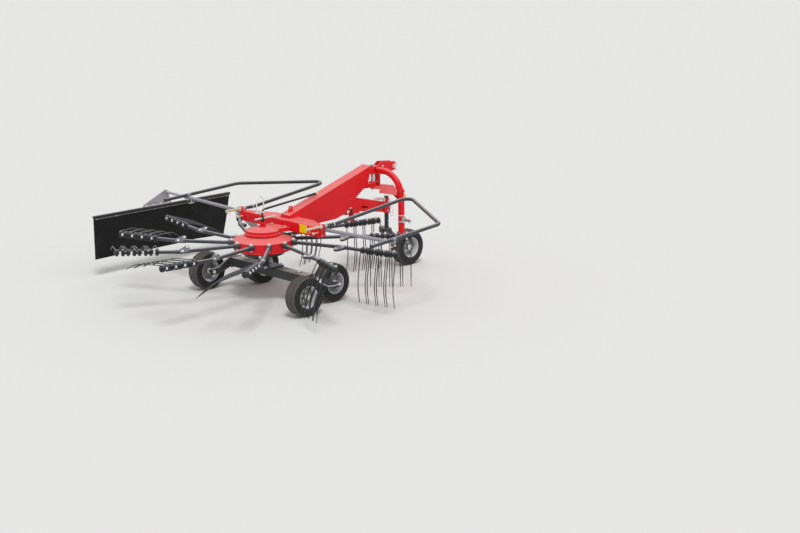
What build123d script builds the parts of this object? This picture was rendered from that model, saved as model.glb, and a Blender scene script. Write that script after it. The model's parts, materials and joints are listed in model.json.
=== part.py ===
import math
import os

from build123d import *

os.makedirs("parts", exist_ok=True)

# Single-rotor rotary rake, millimetres. +X points the way it travels, +Y to its left and +Z up.
# Every piece is drawn about the rotor's axis, with Z from the ground. What is saved is moved so
# that the origin lies on the ground under the middle of the rake; the rotor's axis is then here:
ROTOR_X = -382.6
ROTOR_Y = -189.4

# Gap between pieces that are bolted or seated on each other
SEAT = 0.3

# Rotor: a drum on a fixed column, carrying arms whose outer halves hold double spring tines
ARM_COUNT = 11
ARM_Z = 621
FIRST_ARM_DEG = -21.3
# Each arm points this far behind the radius through its socket.
ARM_TRAIL_DEG = -16.9
SOCKET_R = 330
SOCKET_RADIUS = 28
SOCKET_IN = 38
SOCKET_OUT = 25
ARM_TUBE_R = 19
BEND_AT = 602
BEND_TRAIL_DEG = -7.8
BAR_LENGTH = 648
BRACKET_BACK = 110
BRACKET_LUG = 58
BRACKET_LUG_DEG = 50
BRACKET_THICKNESS = 26
# The cam rolls each arm, so that its tines lift as they pass the swath; the bar rises with them.
# Roll of the tines and rise of the bar in degrees for each arm, clockwise from the first
ARMS = (
    (8, 0),
    (10, 0),
    (27, 1),
    (67, 3),
    (84, 3),
    (84, 3),
    (84, 3),
    (72, 3),
    (42, 2),
    (6, 0),
    (4, 0),
)

# Double tines on each outer arm
TINE_SETS = 4
TINE_SET_PITCH = 113
FIRST_SET_AT = 256
COIL_R = 36
COIL_LENGTH = 38
COIL_SIDES = 10
TINE_WIRE_R = 4.75
TINE_SIDES = 6
TINE_UPPER = 360
TINE_LOWER = 192
TINE_KNEE_DEG = 20
CLIP_LENGTH = 20
CLIP_WIDTH = 26
CLIP_HEIGHT = 18

# Drum
DRUM_R = 307
DRUM_WALL = 8
DRUM_LOW_Z = 548
DRUM_RIM_Z = 647
DRUM_TOP_Z = 690
DRUM_NECK_R = 185
COLUMN_R = 60
COLUMN_FIT = 0.1
CAM_R = 228
CAM_HEIGHT = 44
CAM_GAP = 8

# Fixed cap over the drum
CAP_R = 190
CAP_GAP = 10
CAP_TIER = 34
CAP_STEP = 14
CAP_CROWN = 30
NOSE_HALF_WIDTH = 110
NOSE_SPREAD = 45
NOSE_HEIGHT = 42
CRANK_POST = 44
CRANK_POST_HEIGHT = 50
LEVER_Z = 866
LEVER_REAR_X = -112
LEVER_FRONT_X = 171
LEVER_R = 9
CRANK_ROD_Z = 956
CRANK_ROD_X = 755
CRANK_ROD_END_Z = 1019

# Crossbeam
CROSS_REAR_X = 240
CROSS_FRONT_X = 450
CROSS_HALF = 620
CROSS_END_X = 318
CROSS_STRAIGHT = 290
CROSS_LOW_Z = 710
CROSS_HIGH_Z = 820

# Main beam
BEAM_HALF_WIDTH = 70
BEAM_TAIL_X = 310
BEAM_TAIL_Z = 853
BEAM_NOSE_X = 1505
BEAM_NOSE_Z = 1230
BEAM_NOSE_LOW_Z = 1034
FORK_X = 1265
FORK_Z = 904
PRONG_X = 1781
PRONG_HIGH_Z = 776
PRONG_LOW_Z = 664
HEEL_X = 1176
HEEL_Z = 772
BELLY_X = 968
BELLY_Z = 716
# Slot and hole through the prong, and the plates that hang below it beside the drive shaft
SLOT_X = 1399
SLOT_Z = 780
SLOT_LENGTH = 76
SLOT_R = 13
PRONG_HOLE_X = 1690
PRONG_HOLE_Z = 714
HANGER_X = 1265
HANGER_HALF = 60
HANGER_LOW_Z = 697
HANGER_THICKNESS = 12
EYE_X = 389
EYE_Z = 914
EYE_R = 26

# Input shaft under the main beam
INPUT_X = 640
INPUT_Z = 682
INPUT_LENGTH = 180
INPUT_WIDTH = 110
INPUT_HOUSING = 50
INPUT_R = 17.5
INPUT_REACH = 80

# Headstock
PIVOT_X = 1588
PIVOT_PIN_R = 20
PIVOT_FIT = 0.1
KNUCKLE_R = 38
# Low and high face of each pivot knuckle
KNUCKLES = ((978, 1022), (1132, 1188))
LUG_THICKNESS = 12
LUG_GAP = 1
LUG_REACH = 45
HEAD_X = 1636
HEAD_TUBE_R = 35
HEAD_HALF = 400
HEAD_TOP_Z = 1160
HEAD_LOW_Z = 470
HEAD_BEND = 270
LINK_PIN_R = 14
LINK_PIN_Z = 655
LINK_PIN_REACH = 96
LINK_FLANGE_R = 36
TOP_PIN_R = 12.7
TOP_PIN_X = 1886
TOP_PIN_Z = 1175
HOOK_PLATE = 14
HOOK_HALF_GAP = 28

# Axle beam, rockers and wheels
AXLE_REAR_X = 50
AXLE_FRONT_X = 180
AXLE_LOW_Z = 240
AXLE_HIGH_Z = 340
AXLE_HALF = 600
ROCKER_X = 140
ROCKER_Z = 290
ROCKER_IN_Y = AXLE_HALF + 62
ROCKER_THICKNESS = 32
ROCKER_PIN_R = 25
ROCKER_REAR_X = -140
ROCKER_FRONT_X = 430
REAR_WHEEL_Y = ROCKER_IN_Y + 128
FRONT_WHEEL_Y = ROCKER_IN_Y - 97
WHEEL_R = 204
WHEEL_WIDTH = 160
RIM_R = 112
RIM_HALF_WIDTH = 66
RIM_WALL = 6
HUB_R = 38
HUB_HALF = 45
STUB_R = 15
STUB_FIT = 0.1

# Jockey wheel ahead of the headstock
JOCKEY_X = 2120
JOCKEY_TUBE_X = 1800
JOCKEY_TUBE_R = 24
JOCKEY_TUBE_HIGH_Z = 832
JOCKEY_TUBE_LOW_Z = 470
SLEEVE_LOW_Z = 650
SLEEVE_HIGH_Z = 812
SLEEVE_WALL = 12
JOCKEY_ARM_Y = 104
JOCKEY_ARM_WIDTH = 22
JOCKEY_ARM_DEPTH = 60

# Guards and curtain
GUARD_R = 19
GUARD_BORE_R = 15.5
HINGE_PIN_R = 12.5
HINGE_Y = CROSS_HALF + 32
HINGE_Z = 838
HINGE_PIN_REAR_X = 45
HINGE_DEPTH = 170
EAR_THICKNESS = 26
GUARD_REAR_X = 262
GUARD_TEE_X = 290
GUARD_TEE_Z = 795
GUARD_TEE_RISE_DEG = 1.3
GUARD_BEND = 90
# Corners of the left guard's tube from its hinge round to its open rear end
GUARD_CORNERS = ((1510, HINGE_Y, 962), (976, 1606, 890), (-27, 1653, 833))
CURTAIN_Y = 2050
CURTAIN_THICKNESS = 8
CURTAIN_REAR_X = -710
CURTAIN_FRONT_X = 1195
CURTAIN_LEAN = 95
CURTAIN_HIGH_Z = 672
CURTAIN_LOW_Z = 205
RAIL_DEPTH = 24
RAIL_WIDTH = 36
SLIDE_TUBE_R = 15.2
SLIDE_TUBE_IN_Y = 1180


def heading(degrees, rise=0.0):
    """Unit vector at an angle from +X in plan, rising by the second angle."""
    flat = math.cos(math.radians(rise))
    return Vector(
        flat * math.cos(math.radians(degrees)),
        flat * math.sin(math.radians(degrees)),
        math.sin(math.radians(rise)),
    )


def tube(points, radius, bend=0.0, bore=0.0):
    """A round tube along straight runs joined by tangent arcs."""
    with BuildPart() as piece:
        with BuildLine() as path:
            if bend:
                FilletPolyline(*points, radius=bend)
            else:
                Line(*points)
        with BuildSketch(Plane(origin=path.line @ 0, z_dir=path.line % 0)):
            Circle(radius)
            if bore:
                Circle(bore, mode=Mode.SUBTRACT)
        sweep(path=path.line)
    return piece.part


def save(part, name):
    placed = part.moved(Location((ROTOR_X, ROTOR_Y, 0)))
    placed.label = name
    export_step(placed, f"parts/{name}.step")


def mirrored(part):
    return part.mirror(Plane.XZ)


# Rotor drum with a socket for each arm
sleeve_r = COLUMN_R + COLUMN_FIT
with BuildPart() as rotor_drum:
    with BuildSketch(Plane.XZ):
        Polygon(
            (sleeve_r, DRUM_LOW_Z),
            (DRUM_R, DRUM_LOW_Z),
            (DRUM_R, DRUM_RIM_Z),
            (DRUM_NECK_R, DRUM_TOP_Z),
            (sleeve_r, DRUM_TOP_Z),
            align=None,
        )
        Polygon(
            (sleeve_r + DRUM_WALL, DRUM_LOW_Z),
            (DRUM_R - DRUM_WALL, DRUM_LOW_Z),
            (DRUM_R - DRUM_WALL, DRUM_RIM_Z - DRUM_WALL),
            (DRUM_NECK_R, DRUM_TOP_Z - DRUM_WALL),
            (sleeve_r + DRUM_WALL, DRUM_TOP_Z - DRUM_WALL),
            align=None,
            mode=Mode.SUBTRACT,
        )
    revolve(axis=Axis.Z)
    for arm in range(ARM_COUNT):
        place = FIRST_ARM_DEG - arm * 360 / ARM_COUNT
        along = heading(place + ARM_TRAIL_DEG)
        start = heading(place) * SOCKET_R + Vector(0, 0, ARM_Z) - along * SOCKET_IN
        with BuildSketch(Plane(origin=start, z_dir=along)):
            Circle(SOCKET_RADIUS)
        extrude(amount=SOCKET_IN + SOCKET_OUT)
save(rotor_drum.part, "rotor_drum")

# Each arm is modelled with its socket on +X, for its own roll and rise, then turned to its place
arm_along = heading(ARM_TRAIL_DEG)
arm_root = Vector(SOCKET_R, 0, ARM_Z)
arm_bend = arm_root + arm_along * BEND_AT
bracket_from = BEND_AT - BRACKET_BACK
set_middles = [FIRST_SET_AT + number * TINE_SET_PITCH for number in range(TINE_SETS)]
coil_in = CLIP_LENGTH / 2 + 1
coil_out = coil_in + COIL_LENGTH


def bar_plane(roll, rise):
    """The tine bar's own plane at its bend: x along the bar, z opposite to its tines."""
    along = heading(ARM_TRAIL_DEG + BEND_TRAIL_DEG, rise)
    leading = Vector(0, 0, 1).cross(along).normalized()
    upright = along.cross(leading)
    return Plane(origin=arm_bend, x_dir=along, z_dir=upright.rotate(Axis((0, 0, 0), along), -roll))


def inner_arm(bar, roll):
    """A tube from its socket, and the flat bracket whose lug is bolted to the tine bar."""
    lug_way = Vector(0, 0, -1).rotate(Axis((0, 0, 0), arm_along), -BRACKET_LUG_DEG - roll)
    bracket_plane = Plane(
        origin=arm_root + arm_along * bracket_from,
        x_dir=arm_along,
        z_dir=arm_along.cross(lug_way),
    )
    with BuildPart() as piece:
        with BuildSketch(Plane(origin=arm_root + arm_along * SOCKET_OUT, z_dir=arm_along)):
            Circle(ARM_TUBE_R)
        extrude(amount=bracket_from - SOCKET_OUT + ARM_TUBE_R)
        with BuildSketch(bracket_plane):
            Polygon(
                (0, -ARM_TUBE_R),
                (0, BRACKET_LUG),
                (BRACKET_BACK / 3, BRACKET_LUG),
                (BRACKET_BACK, ARM_TUBE_R),
                (BRACKET_BACK, -ARM_TUBE_R),
                align=None,
            )
        extrude(amount=BRACKET_THICKNESS / 2, both=True)
        split(bisect_by=Plane(origin=arm_bend - bar.x_dir * SEAT, z_dir=bar.x_dir), keep=Keep.BOTTOM)
    return piece.part


def tine_bar(bar):
    """A tube with double spring tines; each leaves the outer end of its coil and bends forward."""
    coil_ends = [middle + start for middle in set_middles for start in (-coil_out, coil_in)]
    hip_spots = [
        (middle + side * (coil_out - TINE_WIRE_R), TINE_WIRE_R - COIL_R, 0)
        for middle in set_middles
        for side in (-1, 1)
    ]
    down = bar.z_dir * -1
    lower_way = down.rotate(Axis((0, 0, 0), bar.x_dir), TINE_KNEE_DEG)
    hips = [bar.from_local_coords(spot) for spot in hip_spots]
    knees = [hip + down * (TINE_UPPER - TINE_WIRE_R) for hip in hips]
    coils = [Plane(origin=bar.origin + bar.x_dir * end, x_dir=bar.z_dir, z_dir=bar.x_dir) for end in coil_ends]
    with BuildPart() as piece:
        with BuildSketch(Plane(origin=bar.origin, z_dir=bar.x_dir)):
            Circle(ARM_TUBE_R)
        extrude(amount=BAR_LENGTH)
        with BuildSketch(*coils):
            RegularPolygon(COIL_R, COIL_SIDES)
        extrude(amount=COIL_LENGTH)
        with BuildSketch(*[Plane(origin=hip, x_dir=bar.x_dir, z_dir=down) for hip in hips]):
            RegularPolygon(TINE_WIRE_R, TINE_SIDES)
        extrude(amount=TINE_UPPER)
        with BuildSketch(*[Plane(origin=knee, x_dir=bar.x_dir, z_dir=lower_way) for knee in knees]):
            RegularPolygon(TINE_WIRE_R, TINE_SIDES)
        extrude(amount=TINE_LOWER)
    return piece.part


def tine_clamps(bar):
    """Clamps between the coils of each double tine: the bolt's head on one side, its plate on the other."""
    seats = [
        Plane(
            origin=bar.from_local_coords((middle, 0, side * (ARM_TUBE_R + SEAT))),
            x_dir=bar.x_dir,
            z_dir=bar.z_dir * side,
        )
        for middle in set_middles
        for side in (-1, 1)
    ]
    with BuildPart() as piece:
        with BuildSketch(*seats):
            Rectangle(CLIP_LENGTH, CLIP_WIDTH)
        extrude(amount=CLIP_HEIGHT)
    return piece.part


with BuildPart() as arm_tubes:
    for arm, (roll, rise) in enumerate(ARMS):
        place = FIRST_ARM_DEG - arm * 360 / ARM_COUNT
        add(inner_arm(bar_plane(roll, rise), roll), rotation=(0, 0, place))
save(arm_tubes.part, "arm_tubes")

with BuildPart() as tine_bars:
    for arm, (roll, rise) in enumerate(ARMS):
        place = FIRST_ARM_DEG - arm * 360 / ARM_COUNT
        add(tine_bar(bar_plane(roll, rise)), rotation=(0, 0, place))
save(tine_bars.part, "tine_bars")

with BuildPart() as bar_clips:
    for arm, (roll, rise) in enumerate(ARMS):
        place = FIRST_ARM_DEG - arm * 360 / ARM_COUNT
        add(tine_clamps(bar_plane(roll, rise)), rotation=(0, 0, place))
save(bar_clips.part, "bar_clips")

# Fixed column, cam housing and cap
cap_low = DRUM_TOP_Z + CAP_GAP
foot_z = AXLE_HIGH_Z + SEAT
with BuildPart() as column:
    with BuildSketch(Plane.XY.offset(foot_z)):
        with Locations((COLUMN_R, 0)):
            Rectangle(AXLE_FRONT_X + COLUMN_R, 2 * CAP_R - 160)
    extrude(amount=16)
    with BuildSketch(Plane.XY.offset(foot_z)):
        Circle(COLUMN_R)
    extrude(amount=cap_low - SEAT - foot_z)
save(column.part, "column")

with BuildPart() as cam_housing:
    with BuildSketch(Plane.XY.offset(DRUM_LOW_Z - CAM_GAP - CAM_HEIGHT)):
        Circle(CAM_R)
        Circle(COLUMN_R + SEAT, mode=Mode.SUBTRACT)
    extrude(amount=CAM_HEIGHT)
    chamfer(cam_housing.edges().filter_by(GeomType.CIRCLE).group_by(SortBy.RADIUS)[-1], 10)
save(cam_housing.part, "cam_housing")

with BuildPart() as top_cap:
    with BuildSketch(Plane.XZ):
        Polygon(
            (0, cap_low),
            (CAP_R, cap_low),
            (CAP_R, cap_low + CAP_TIER / 2),
            (CAP_R - CAP_STEP, cap_low + CAP_TIER / 2),
            (CAP_R - CAP_STEP, cap_low + CAP_TIER + CAP_STEP),
            (60, cap_low + CAP_TIER + CAP_STEP + CAP_CROWN),
            (0, cap_low + CAP_TIER + CAP_STEP + CAP_CROWN),
            align=None,
        )
    revolve(axis=Axis.Z)
    with BuildSketch(Plane.XY.offset(CROSS_LOW_Z + 6)):
        Polygon(
            (0, -NOSE_HALF_WIDTH),
            (CROSS_REAR_X - SEAT, -NOSE_HALF_WIDTH - NOSE_SPREAD),
            (CROSS_REAR_X - SEAT, NOSE_HALF_WIDTH + NOSE_SPREAD),
            (0, NOSE_HALF_WIDTH),
            align=None,
        )
    extrude(amount=NOSE_HEIGHT)
save(top_cap.part, "top_cap")

# Height control on the cap: a post with its lever, and the crank's rod that lies over the beam
crown_z = cap_low + CAP_TIER + CAP_STEP + CAP_CROWN
post_z = crown_z + CRANK_POST_HEIGHT
with BuildPart() as height_crank:
    with BuildSketch(Plane.XY.offset(crown_z + SEAT)):
        Rectangle(CRANK_POST, CRANK_POST)
    extrude(amount=CRANK_POST_HEIGHT - SEAT)
    with BuildSketch(Plane.XY.offset(post_z)):
        Circle(CRANK_POST / 2 - 5)
    extrude(amount=LEVER_Z + LEVER_R + 4 - post_z)
    with BuildSketch(Plane.YZ.offset(LEVER_REAR_X)):
        with Locations((0, LEVER_Z)):
            Circle(LEVER_R)
    extrude(amount=LEVER_FRONT_X - LEVER_REAR_X)
    with BuildSketch(Plane.YZ.offset(LEVER_REAR_X + 36)):
        with Locations((0, LEVER_Z)):
            Circle(LEVER_R + 13)
    extrude(amount=22)
save(height_crank.part, "height_crank")

crank_foot_z = LEVER_Z + LEVER_R + 4 + SEAT
crank_rod = tube(
    ((0, 0, crank_foot_z), (0, 0, CRANK_ROD_Z), (CRANK_ROD_X, 0, CRANK_ROD_END_Z)),
    LEVER_R,
    30,
)
save(crank_rod, "crank_rod")

# Crossbeam: its front face slants back to both ends, each of which carries a hinge ear
with BuildPart() as crossbeam:
    with BuildSketch(Plane.XY.offset(CROSS_LOW_Z)):
        Polygon(
            (CROSS_REAR_X, -CROSS_HALF),
            (CROSS_END_X, -CROSS_HALF),
            (CROSS_FRONT_X, -CROSS_STRAIGHT),
            (CROSS_FRONT_X, CROSS_STRAIGHT),
            (CROSS_END_X, CROSS_HALF),
            (CROSS_REAR_X, CROSS_HALF),
            align=None,
        )
    extrude(amount=CROSS_HIGH_Z - CROSS_LOW_Z)
    fillet(crossbeam.edges().filter_by(Axis.Z, reverse=True), 12)
    for side in (-1, 1):
        with BuildSketch(Plane.YZ.offset(CROSS_REAR_X - 10)):
            Polygon(
                (side * (CROSS_HALF - 30), CROSS_LOW_Z + 10),
                (side * (CROSS_HALF - 30), CROSS_HIGH_Z - 5),
                (side * (HINGE_Y - 20), HINGE_Z + 24),
                (side * (HINGE_Y + 20), HINGE_Z + 24),
                (side * (HINGE_Y + 26), HINGE_Z - 10),
                (side * (CROSS_HALF + 5), CROSS_LOW_Z + 10),
                align=None,
            )
            with Locations((side * HINGE_Y, HINGE_Z)):
                Circle(HINGE_PIN_R + PIVOT_FIT, mode=Mode.SUBTRACT)
        extrude(amount=EAR_THICKNESS)
save(crossbeam.part, "crossbeam")

# Main beam: deep side profile over the crossbeam, forked at the front, with a lifting eye
beam_rear_x = CROSS_FRONT_X + SEAT
prong_slope = math.degrees(math.atan2(PRONG_LOW_Z - HEEL_Z, PRONG_X + 10 - HEEL_X))
with BuildPart() as main_beam:
    with BuildSketch(Plane.XZ.offset(-BEAM_HALF_WIDTH)):
        Polygon(
            (beam_rear_x, CROSS_LOW_Z),
            (beam_rear_x, CROSS_HIGH_Z + SEAT),
            (BEAM_TAIL_X, CROSS_HIGH_Z + SEAT),
            (BEAM_TAIL_X, BEAM_TAIL_Z),
            (BEAM_NOSE_X, BEAM_NOSE_Z),
            (BEAM_NOSE_X - 50, BEAM_NOSE_LOW_Z),
            (FORK_X, FORK_Z),
            (PRONG_X, PRONG_HIGH_Z),
            (PRONG_X + 10, PRONG_LOW_Z),
            (HEEL_X, HEEL_Z),
            (BELLY_X, BELLY_Z),
            (INPUT_X + 70, CROSS_LOW_Z),
            align=None,
        )
    extrude(amount=2 * BEAM_HALF_WIDTH)
    with BuildSketch(Plane.XZ.offset(-BEAM_HALF_WIDTH)):
        with Locations(Location((SLOT_X, SLOT_Z), prong_slope)):
            SlotCenterToCenter(SLOT_LENGTH, 2 * SLOT_R)
        with Locations((PRONG_HOLE_X, PRONG_HOLE_Z)):
            Circle(SLOT_R)
    extrude(amount=2 * BEAM_HALF_WIDTH, mode=Mode.SUBTRACT)
    for inner_y in (-BEAM_HALF_WIDTH, BEAM_HALF_WIDTH - HANGER_THICKNESS):
        with BuildSketch(Plane.XZ.offset(-inner_y - HANGER_THICKNESS)):
            Polygon(
                (HANGER_X - HANGER_HALF, HEEL_Z),
                (HANGER_X + HANGER_HALF, HEEL_Z),
                (HANGER_X + HANGER_HALF - 18, HANGER_LOW_Z),
                (HANGER_X - HANGER_HALF + 18, HANGER_LOW_Z),
                align=None,
            )
        extrude(amount=HANGER_THICKNESS)
    with BuildSketch(Plane.XZ):
        with Locations((EYE_X, EYE_Z)):
            Circle(EYE_R)
        with Locations((EYE_X, EYE_Z - EYE_R)):
            Rectangle(2 * EYE_R, 2 * EYE_R)
        with Locations((EYE_X, EYE_Z)):
            Circle(EYE_R / 2, mode=Mode.SUBTRACT)
    extrude(amount=8, both=True)
    for low, high in KNUCKLES:
        with BuildSketch(Plane.XY.offset(low)):
            with Locations((PIVOT_X, 0)):
                Circle(KNUCKLE_R)
        extrude(amount=high - low)
        with BuildSketch(Plane.XY.offset(low)):
            with Locations(((PIVOT_X + BEAM_NOSE_X - 90) / 2, 0)):
                Rectangle(PIVOT_X - BEAM_NOSE_X + 90, 2 * KNUCKLE_R)
        extrude(amount=high - low)
        with BuildSketch(Plane.XY.offset(low)):
            with Locations((PIVOT_X, 0)):
                Circle(PIVOT_PIN_R + PIVOT_FIT)
        extrude(amount=high - low, mode=Mode.SUBTRACT)
    with BuildSketch(Plane.XY.offset(SLEEVE_LOW_Z)):
        with Locations((JOCKEY_TUBE_X, 0)):
            Circle(JOCKEY_TUBE_R + SLEEVE_WALL)
    extrude(amount=SLEEVE_HIGH_Z - SLEEVE_LOW_Z)
    with BuildSketch(Plane.XY.offset(SLEEVE_LOW_Z)):
        with Locations((JOCKEY_TUBE_X, 0)):
            Circle(JOCKEY_TUBE_R + SEAT)
    extrude(amount=SLEEVE_HIGH_Z - SLEEVE_LOW_Z, mode=Mode.SUBTRACT)
save(main_beam.part, "main_beam")

# Gearbox nose under the main beam, with the input shaft that the drive joins
with BuildPart() as input_shaft:
    with BuildSketch(Plane.XY.offset(INPUT_Z - INPUT_HOUSING / 2)):
        with Locations((INPUT_X - INPUT_LENGTH / 2, 0)):
            Rectangle(INPUT_LENGTH, INPUT_WIDTH)
    extrude(amount=CROSS_LOW_Z - SEAT - INPUT_Z + INPUT_HOUSING / 2)
    with BuildSketch(Plane.YZ.offset(INPUT_X)):
        with Locations((0, INPUT_Z)):
            Circle(INPUT_R)
    extrude(amount=INPUT_REACH)
save(input_shaft.part, "input_shaft")

# Headstock: a bent tube over two legs, with lugs round the beam's knuckles
head_line = tube(
    (
        (HEAD_X, -HEAD_HALF, HEAD_LOW_Z),
        (HEAD_X, -HEAD_HALF, HEAD_TOP_Z),
        (HEAD_X, HEAD_HALF, HEAD_TOP_Z),
        (HEAD_X, HEAD_HALF, HEAD_LOW_Z),
    ),
    HEAD_TUBE_R,
    HEAD_BEND,
)
low_lugs = (KNUCKLES[0][0] - LUG_GAP - LUG_THICKNESS, KNUCKLES[0][1] + LUG_GAP)
high_lugs = (KNUCKLES[1][0] - LUG_GAP - LUG_THICKNESS, KNUCKLES[1][1] + LUG_GAP)
with BuildPart() as headstock_frame:
    add(head_line)
    with BuildSketch(Plane.XY.offset(high_lugs[0])):
        with Locations((PIVOT_X, 0)):
            Circle(KNUCKLE_R + 6)
    extrude(amount=high_lugs[1] + LUG_THICKNESS - high_lugs[0], mode=Mode.SUBTRACT)
    with BuildSketch(Plane.XY.offset(low_lugs[0])):
        Polygon(
            (PIVOT_X - LUG_REACH, -KNUCKLE_R),
            (HEAD_X, -HEAD_HALF),
            (HEAD_X + 80, -HEAD_HALF + 30),
            (HEAD_X + 80, HEAD_HALF - 30),
            (HEAD_X, HEAD_HALF),
            (PIVOT_X - LUG_REACH, KNUCKLE_R),
            align=None,
        )
        with Locations((PIVOT_X, 0)):
            Circle(PIVOT_PIN_R + PIVOT_FIT, mode=Mode.SUBTRACT)
    extrude(amount=LUG_THICKNESS)
    for low in (low_lugs[1], high_lugs[0], high_lugs[1]):
        with BuildSketch(Plane.XY.offset(low)):
            with Locations((PIVOT_X, 0)):
                Circle(KNUCKLE_R)
            with Locations(((PIVOT_X + HEAD_X + 40) / 2, 0)):
                Rectangle(HEAD_X + 40 - PIVOT_X, 2 * HOOK_HALF_GAP)
            with Locations((PIVOT_X, 0)):
                Circle(PIVOT_PIN_R + PIVOT_FIT, mode=Mode.SUBTRACT)
        extrude(amount=LUG_THICKNESS)
    with BuildSketch(Plane.XY.offset(low_lugs[0])):
        with Locations((HEAD_X + HEAD_TUBE_R - 5, 0)):
            Rectangle(30, 2 * HOOK_HALF_GAP)
    extrude(amount=high_lugs[1] + LUG_THICKNESS - low_lugs[0])
save(headstock_frame.part, "headstock_frame")

# Two plates over the headstock's tube, with the hole for the top link's pin
with BuildPart() as top_link_plates:
    for side in (-1, 1):
        with BuildSketch(Plane.XZ.offset(side * (HOOK_HALF_GAP + SEAT + HOOK_PLATE / 2) - HOOK_PLATE / 2)):
            Polygon(
                (HEAD_X - 8, HEAD_TOP_Z + 40),
                (HEAD_X + 60, HEAD_TOP_Z + 85),
                (TOP_PIN_X + 10, TOP_PIN_Z + 50),
                (TOP_PIN_X + 45, TOP_PIN_Z),
                (TOP_PIN_X + 10, TOP_PIN_Z - 45),
                (HEAD_X + 60, HEAD_TOP_Z - 60),
                (HEAD_X + 40, HEAD_TOP_Z - 40),
                align=None,
            )
            with Locations((HEAD_X, HEAD_TOP_Z)):
                Circle(HEAD_TUBE_R + SEAT, mode=Mode.SUBTRACT)
            with Locations((TOP_PIN_X, TOP_PIN_Z)):
                Circle(TOP_PIN_R, mode=Mode.SUBTRACT)
        extrude(amount=HOOK_PLATE)
save(top_link_plates.part, "top_link_plates")

with BuildPart() as pivot_pin:
    with BuildSketch(Plane.XY.offset(low_lugs[0] - 20)):
        with Locations((PIVOT_X, 0)):
            Circle(PIVOT_PIN_R)
    extrude(amount=high_lugs[1] + LUG_THICKNESS + 25 - low_lugs[0])
    with BuildSketch(Plane.XY.offset(high_lugs[1] + LUG_THICKNESS + SEAT)):
        with Locations((PIVOT_X, 0)):
            RegularPolygon(PIVOT_PIN_R + 12, 6)
    extrude(amount=18)
save(pivot_pin.part, "pivot_pin")

with BuildPart() as link_pins:
    for side in (-1, 1):
        leg = side * (HEAD_HALF + HEAD_TUBE_R + SEAT)
        facing = Plane(origin=(HEAD_X, leg, LINK_PIN_Z), z_dir=(0, side, 0))
        with BuildSketch(facing):
            Circle(LINK_FLANGE_R)
        extrude(amount=10)
        with BuildSketch(facing.offset(10)):
            Circle(LINK_PIN_R)
        extrude(amount=LINK_PIN_REACH)
save(link_pins.part, "link_pins")

# Axle beam with its rocker pins
with BuildPart() as axle_beam:
    with BuildSketch(Plane.XZ.offset(-AXLE_HALF)):
        with Locations(((AXLE_REAR_X + AXLE_FRONT_X) / 2, (AXLE_LOW_Z + AXLE_HIGH_Z) / 2)):
            RectangleRounded(AXLE_FRONT_X - AXLE_REAR_X, AXLE_HIGH_Z - AXLE_LOW_Z, 12)
    extrude(amount=2 * AXLE_HALF)
    pin_out_y = ROCKER_IN_Y + ROCKER_THICKNESS + 8
    with BuildSketch(Plane.XZ.offset(-pin_out_y)):
        with Locations((ROCKER_X, ROCKER_Z)):
            Circle(ROCKER_PIN_R)
    extrude(amount=2 * pin_out_y)
save(axle_beam.part, "axle_beam")

# Rocker: a bent bar on the axle's end, one wheel on each side of it
with BuildPart() as rocker:
    with BuildSketch(Plane.XZ.offset(-ROCKER_IN_Y - ROCKER_THICKNESS)):
        Polygon(
            (ROCKER_REAR_X - 30, WHEEL_R - 30),
            (ROCKER_REAR_X - 30, WHEEL_R + 30),
            (ROCKER_REAR_X + 70, WHEEL_R + 36),
            (ROCKER_X - 52, ROCKER_Z + 42),
            (ROCKER_X + 52, ROCKER_Z + 42),
            (ROCKER_FRONT_X - 70, WHEEL_R + 36),
            (ROCKER_FRONT_X + 30, WHEEL_R + 30),
            (ROCKER_FRONT_X + 30, WHEEL_R - 30),
            (ROCKER_FRONT_X - 80, WHEEL_R - 32),
            (ROCKER_X, ROCKER_Z - 46),
            (ROCKER_REAR_X + 80, WHEEL_R - 32),
            align=None,
        )
        with Locations((ROCKER_X, ROCKER_Z)):
            Circle(ROCKER_PIN_R + STUB_FIT, mode=Mode.SUBTRACT)
    extrude(amount=ROCKER_THICKNESS)
    rear_reach = REAR_WHEEL_Y + HUB_HALF - ROCKER_IN_Y
    with BuildSketch(Plane.XZ.offset(-ROCKER_IN_Y - rear_reach)):
        with Locations((ROCKER_REAR_X, WHEEL_R)):
            Circle(STUB_R)
    extrude(amount=rear_reach)
    front_in = FRONT_WHEEL_Y - HUB_HALF
    with BuildSketch(Plane.XZ.offset(-ROCKER_IN_Y)):
        with Locations((ROCKER_FRONT_X, WHEEL_R)):
            Circle(STUB_R)
    extrude(amount=ROCKER_IN_Y - front_in)
save(rocker.part, "rocker_left")
save(mirrored(rocker.part), "rocker_right")

# Wheel, modelled about its own centre with its axle along Y
with BuildPart() as tyre:
    with BuildSketch(Plane.YZ):
        with BuildLine():
            Polyline(
                (-RIM_HALF_WIDTH, RIM_R),
                (-WHEEL_WIDTH / 2, RIM_R + 34),
                (-WHEEL_WIDTH / 2, WHEEL_R - 32),
                (-WHEEL_WIDTH / 2 + 24, WHEEL_R - 4),
            )
            ThreePointArc(
                (-WHEEL_WIDTH / 2 + 24, WHEEL_R - 4),
                (0, WHEEL_R),
                (WHEEL_WIDTH / 2 - 24, WHEEL_R - 4),
            )
            Polyline(
                (WHEEL_WIDTH / 2 - 24, WHEEL_R - 4),
                (WHEEL_WIDTH / 2, WHEEL_R - 32),
                (WHEEL_WIDTH / 2, RIM_R + 34),
                (RIM_HALF_WIDTH, RIM_R),
                (-RIM_HALF_WIDTH, RIM_R),
            )
        make_face()
    revolve(axis=Axis.Y)

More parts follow.
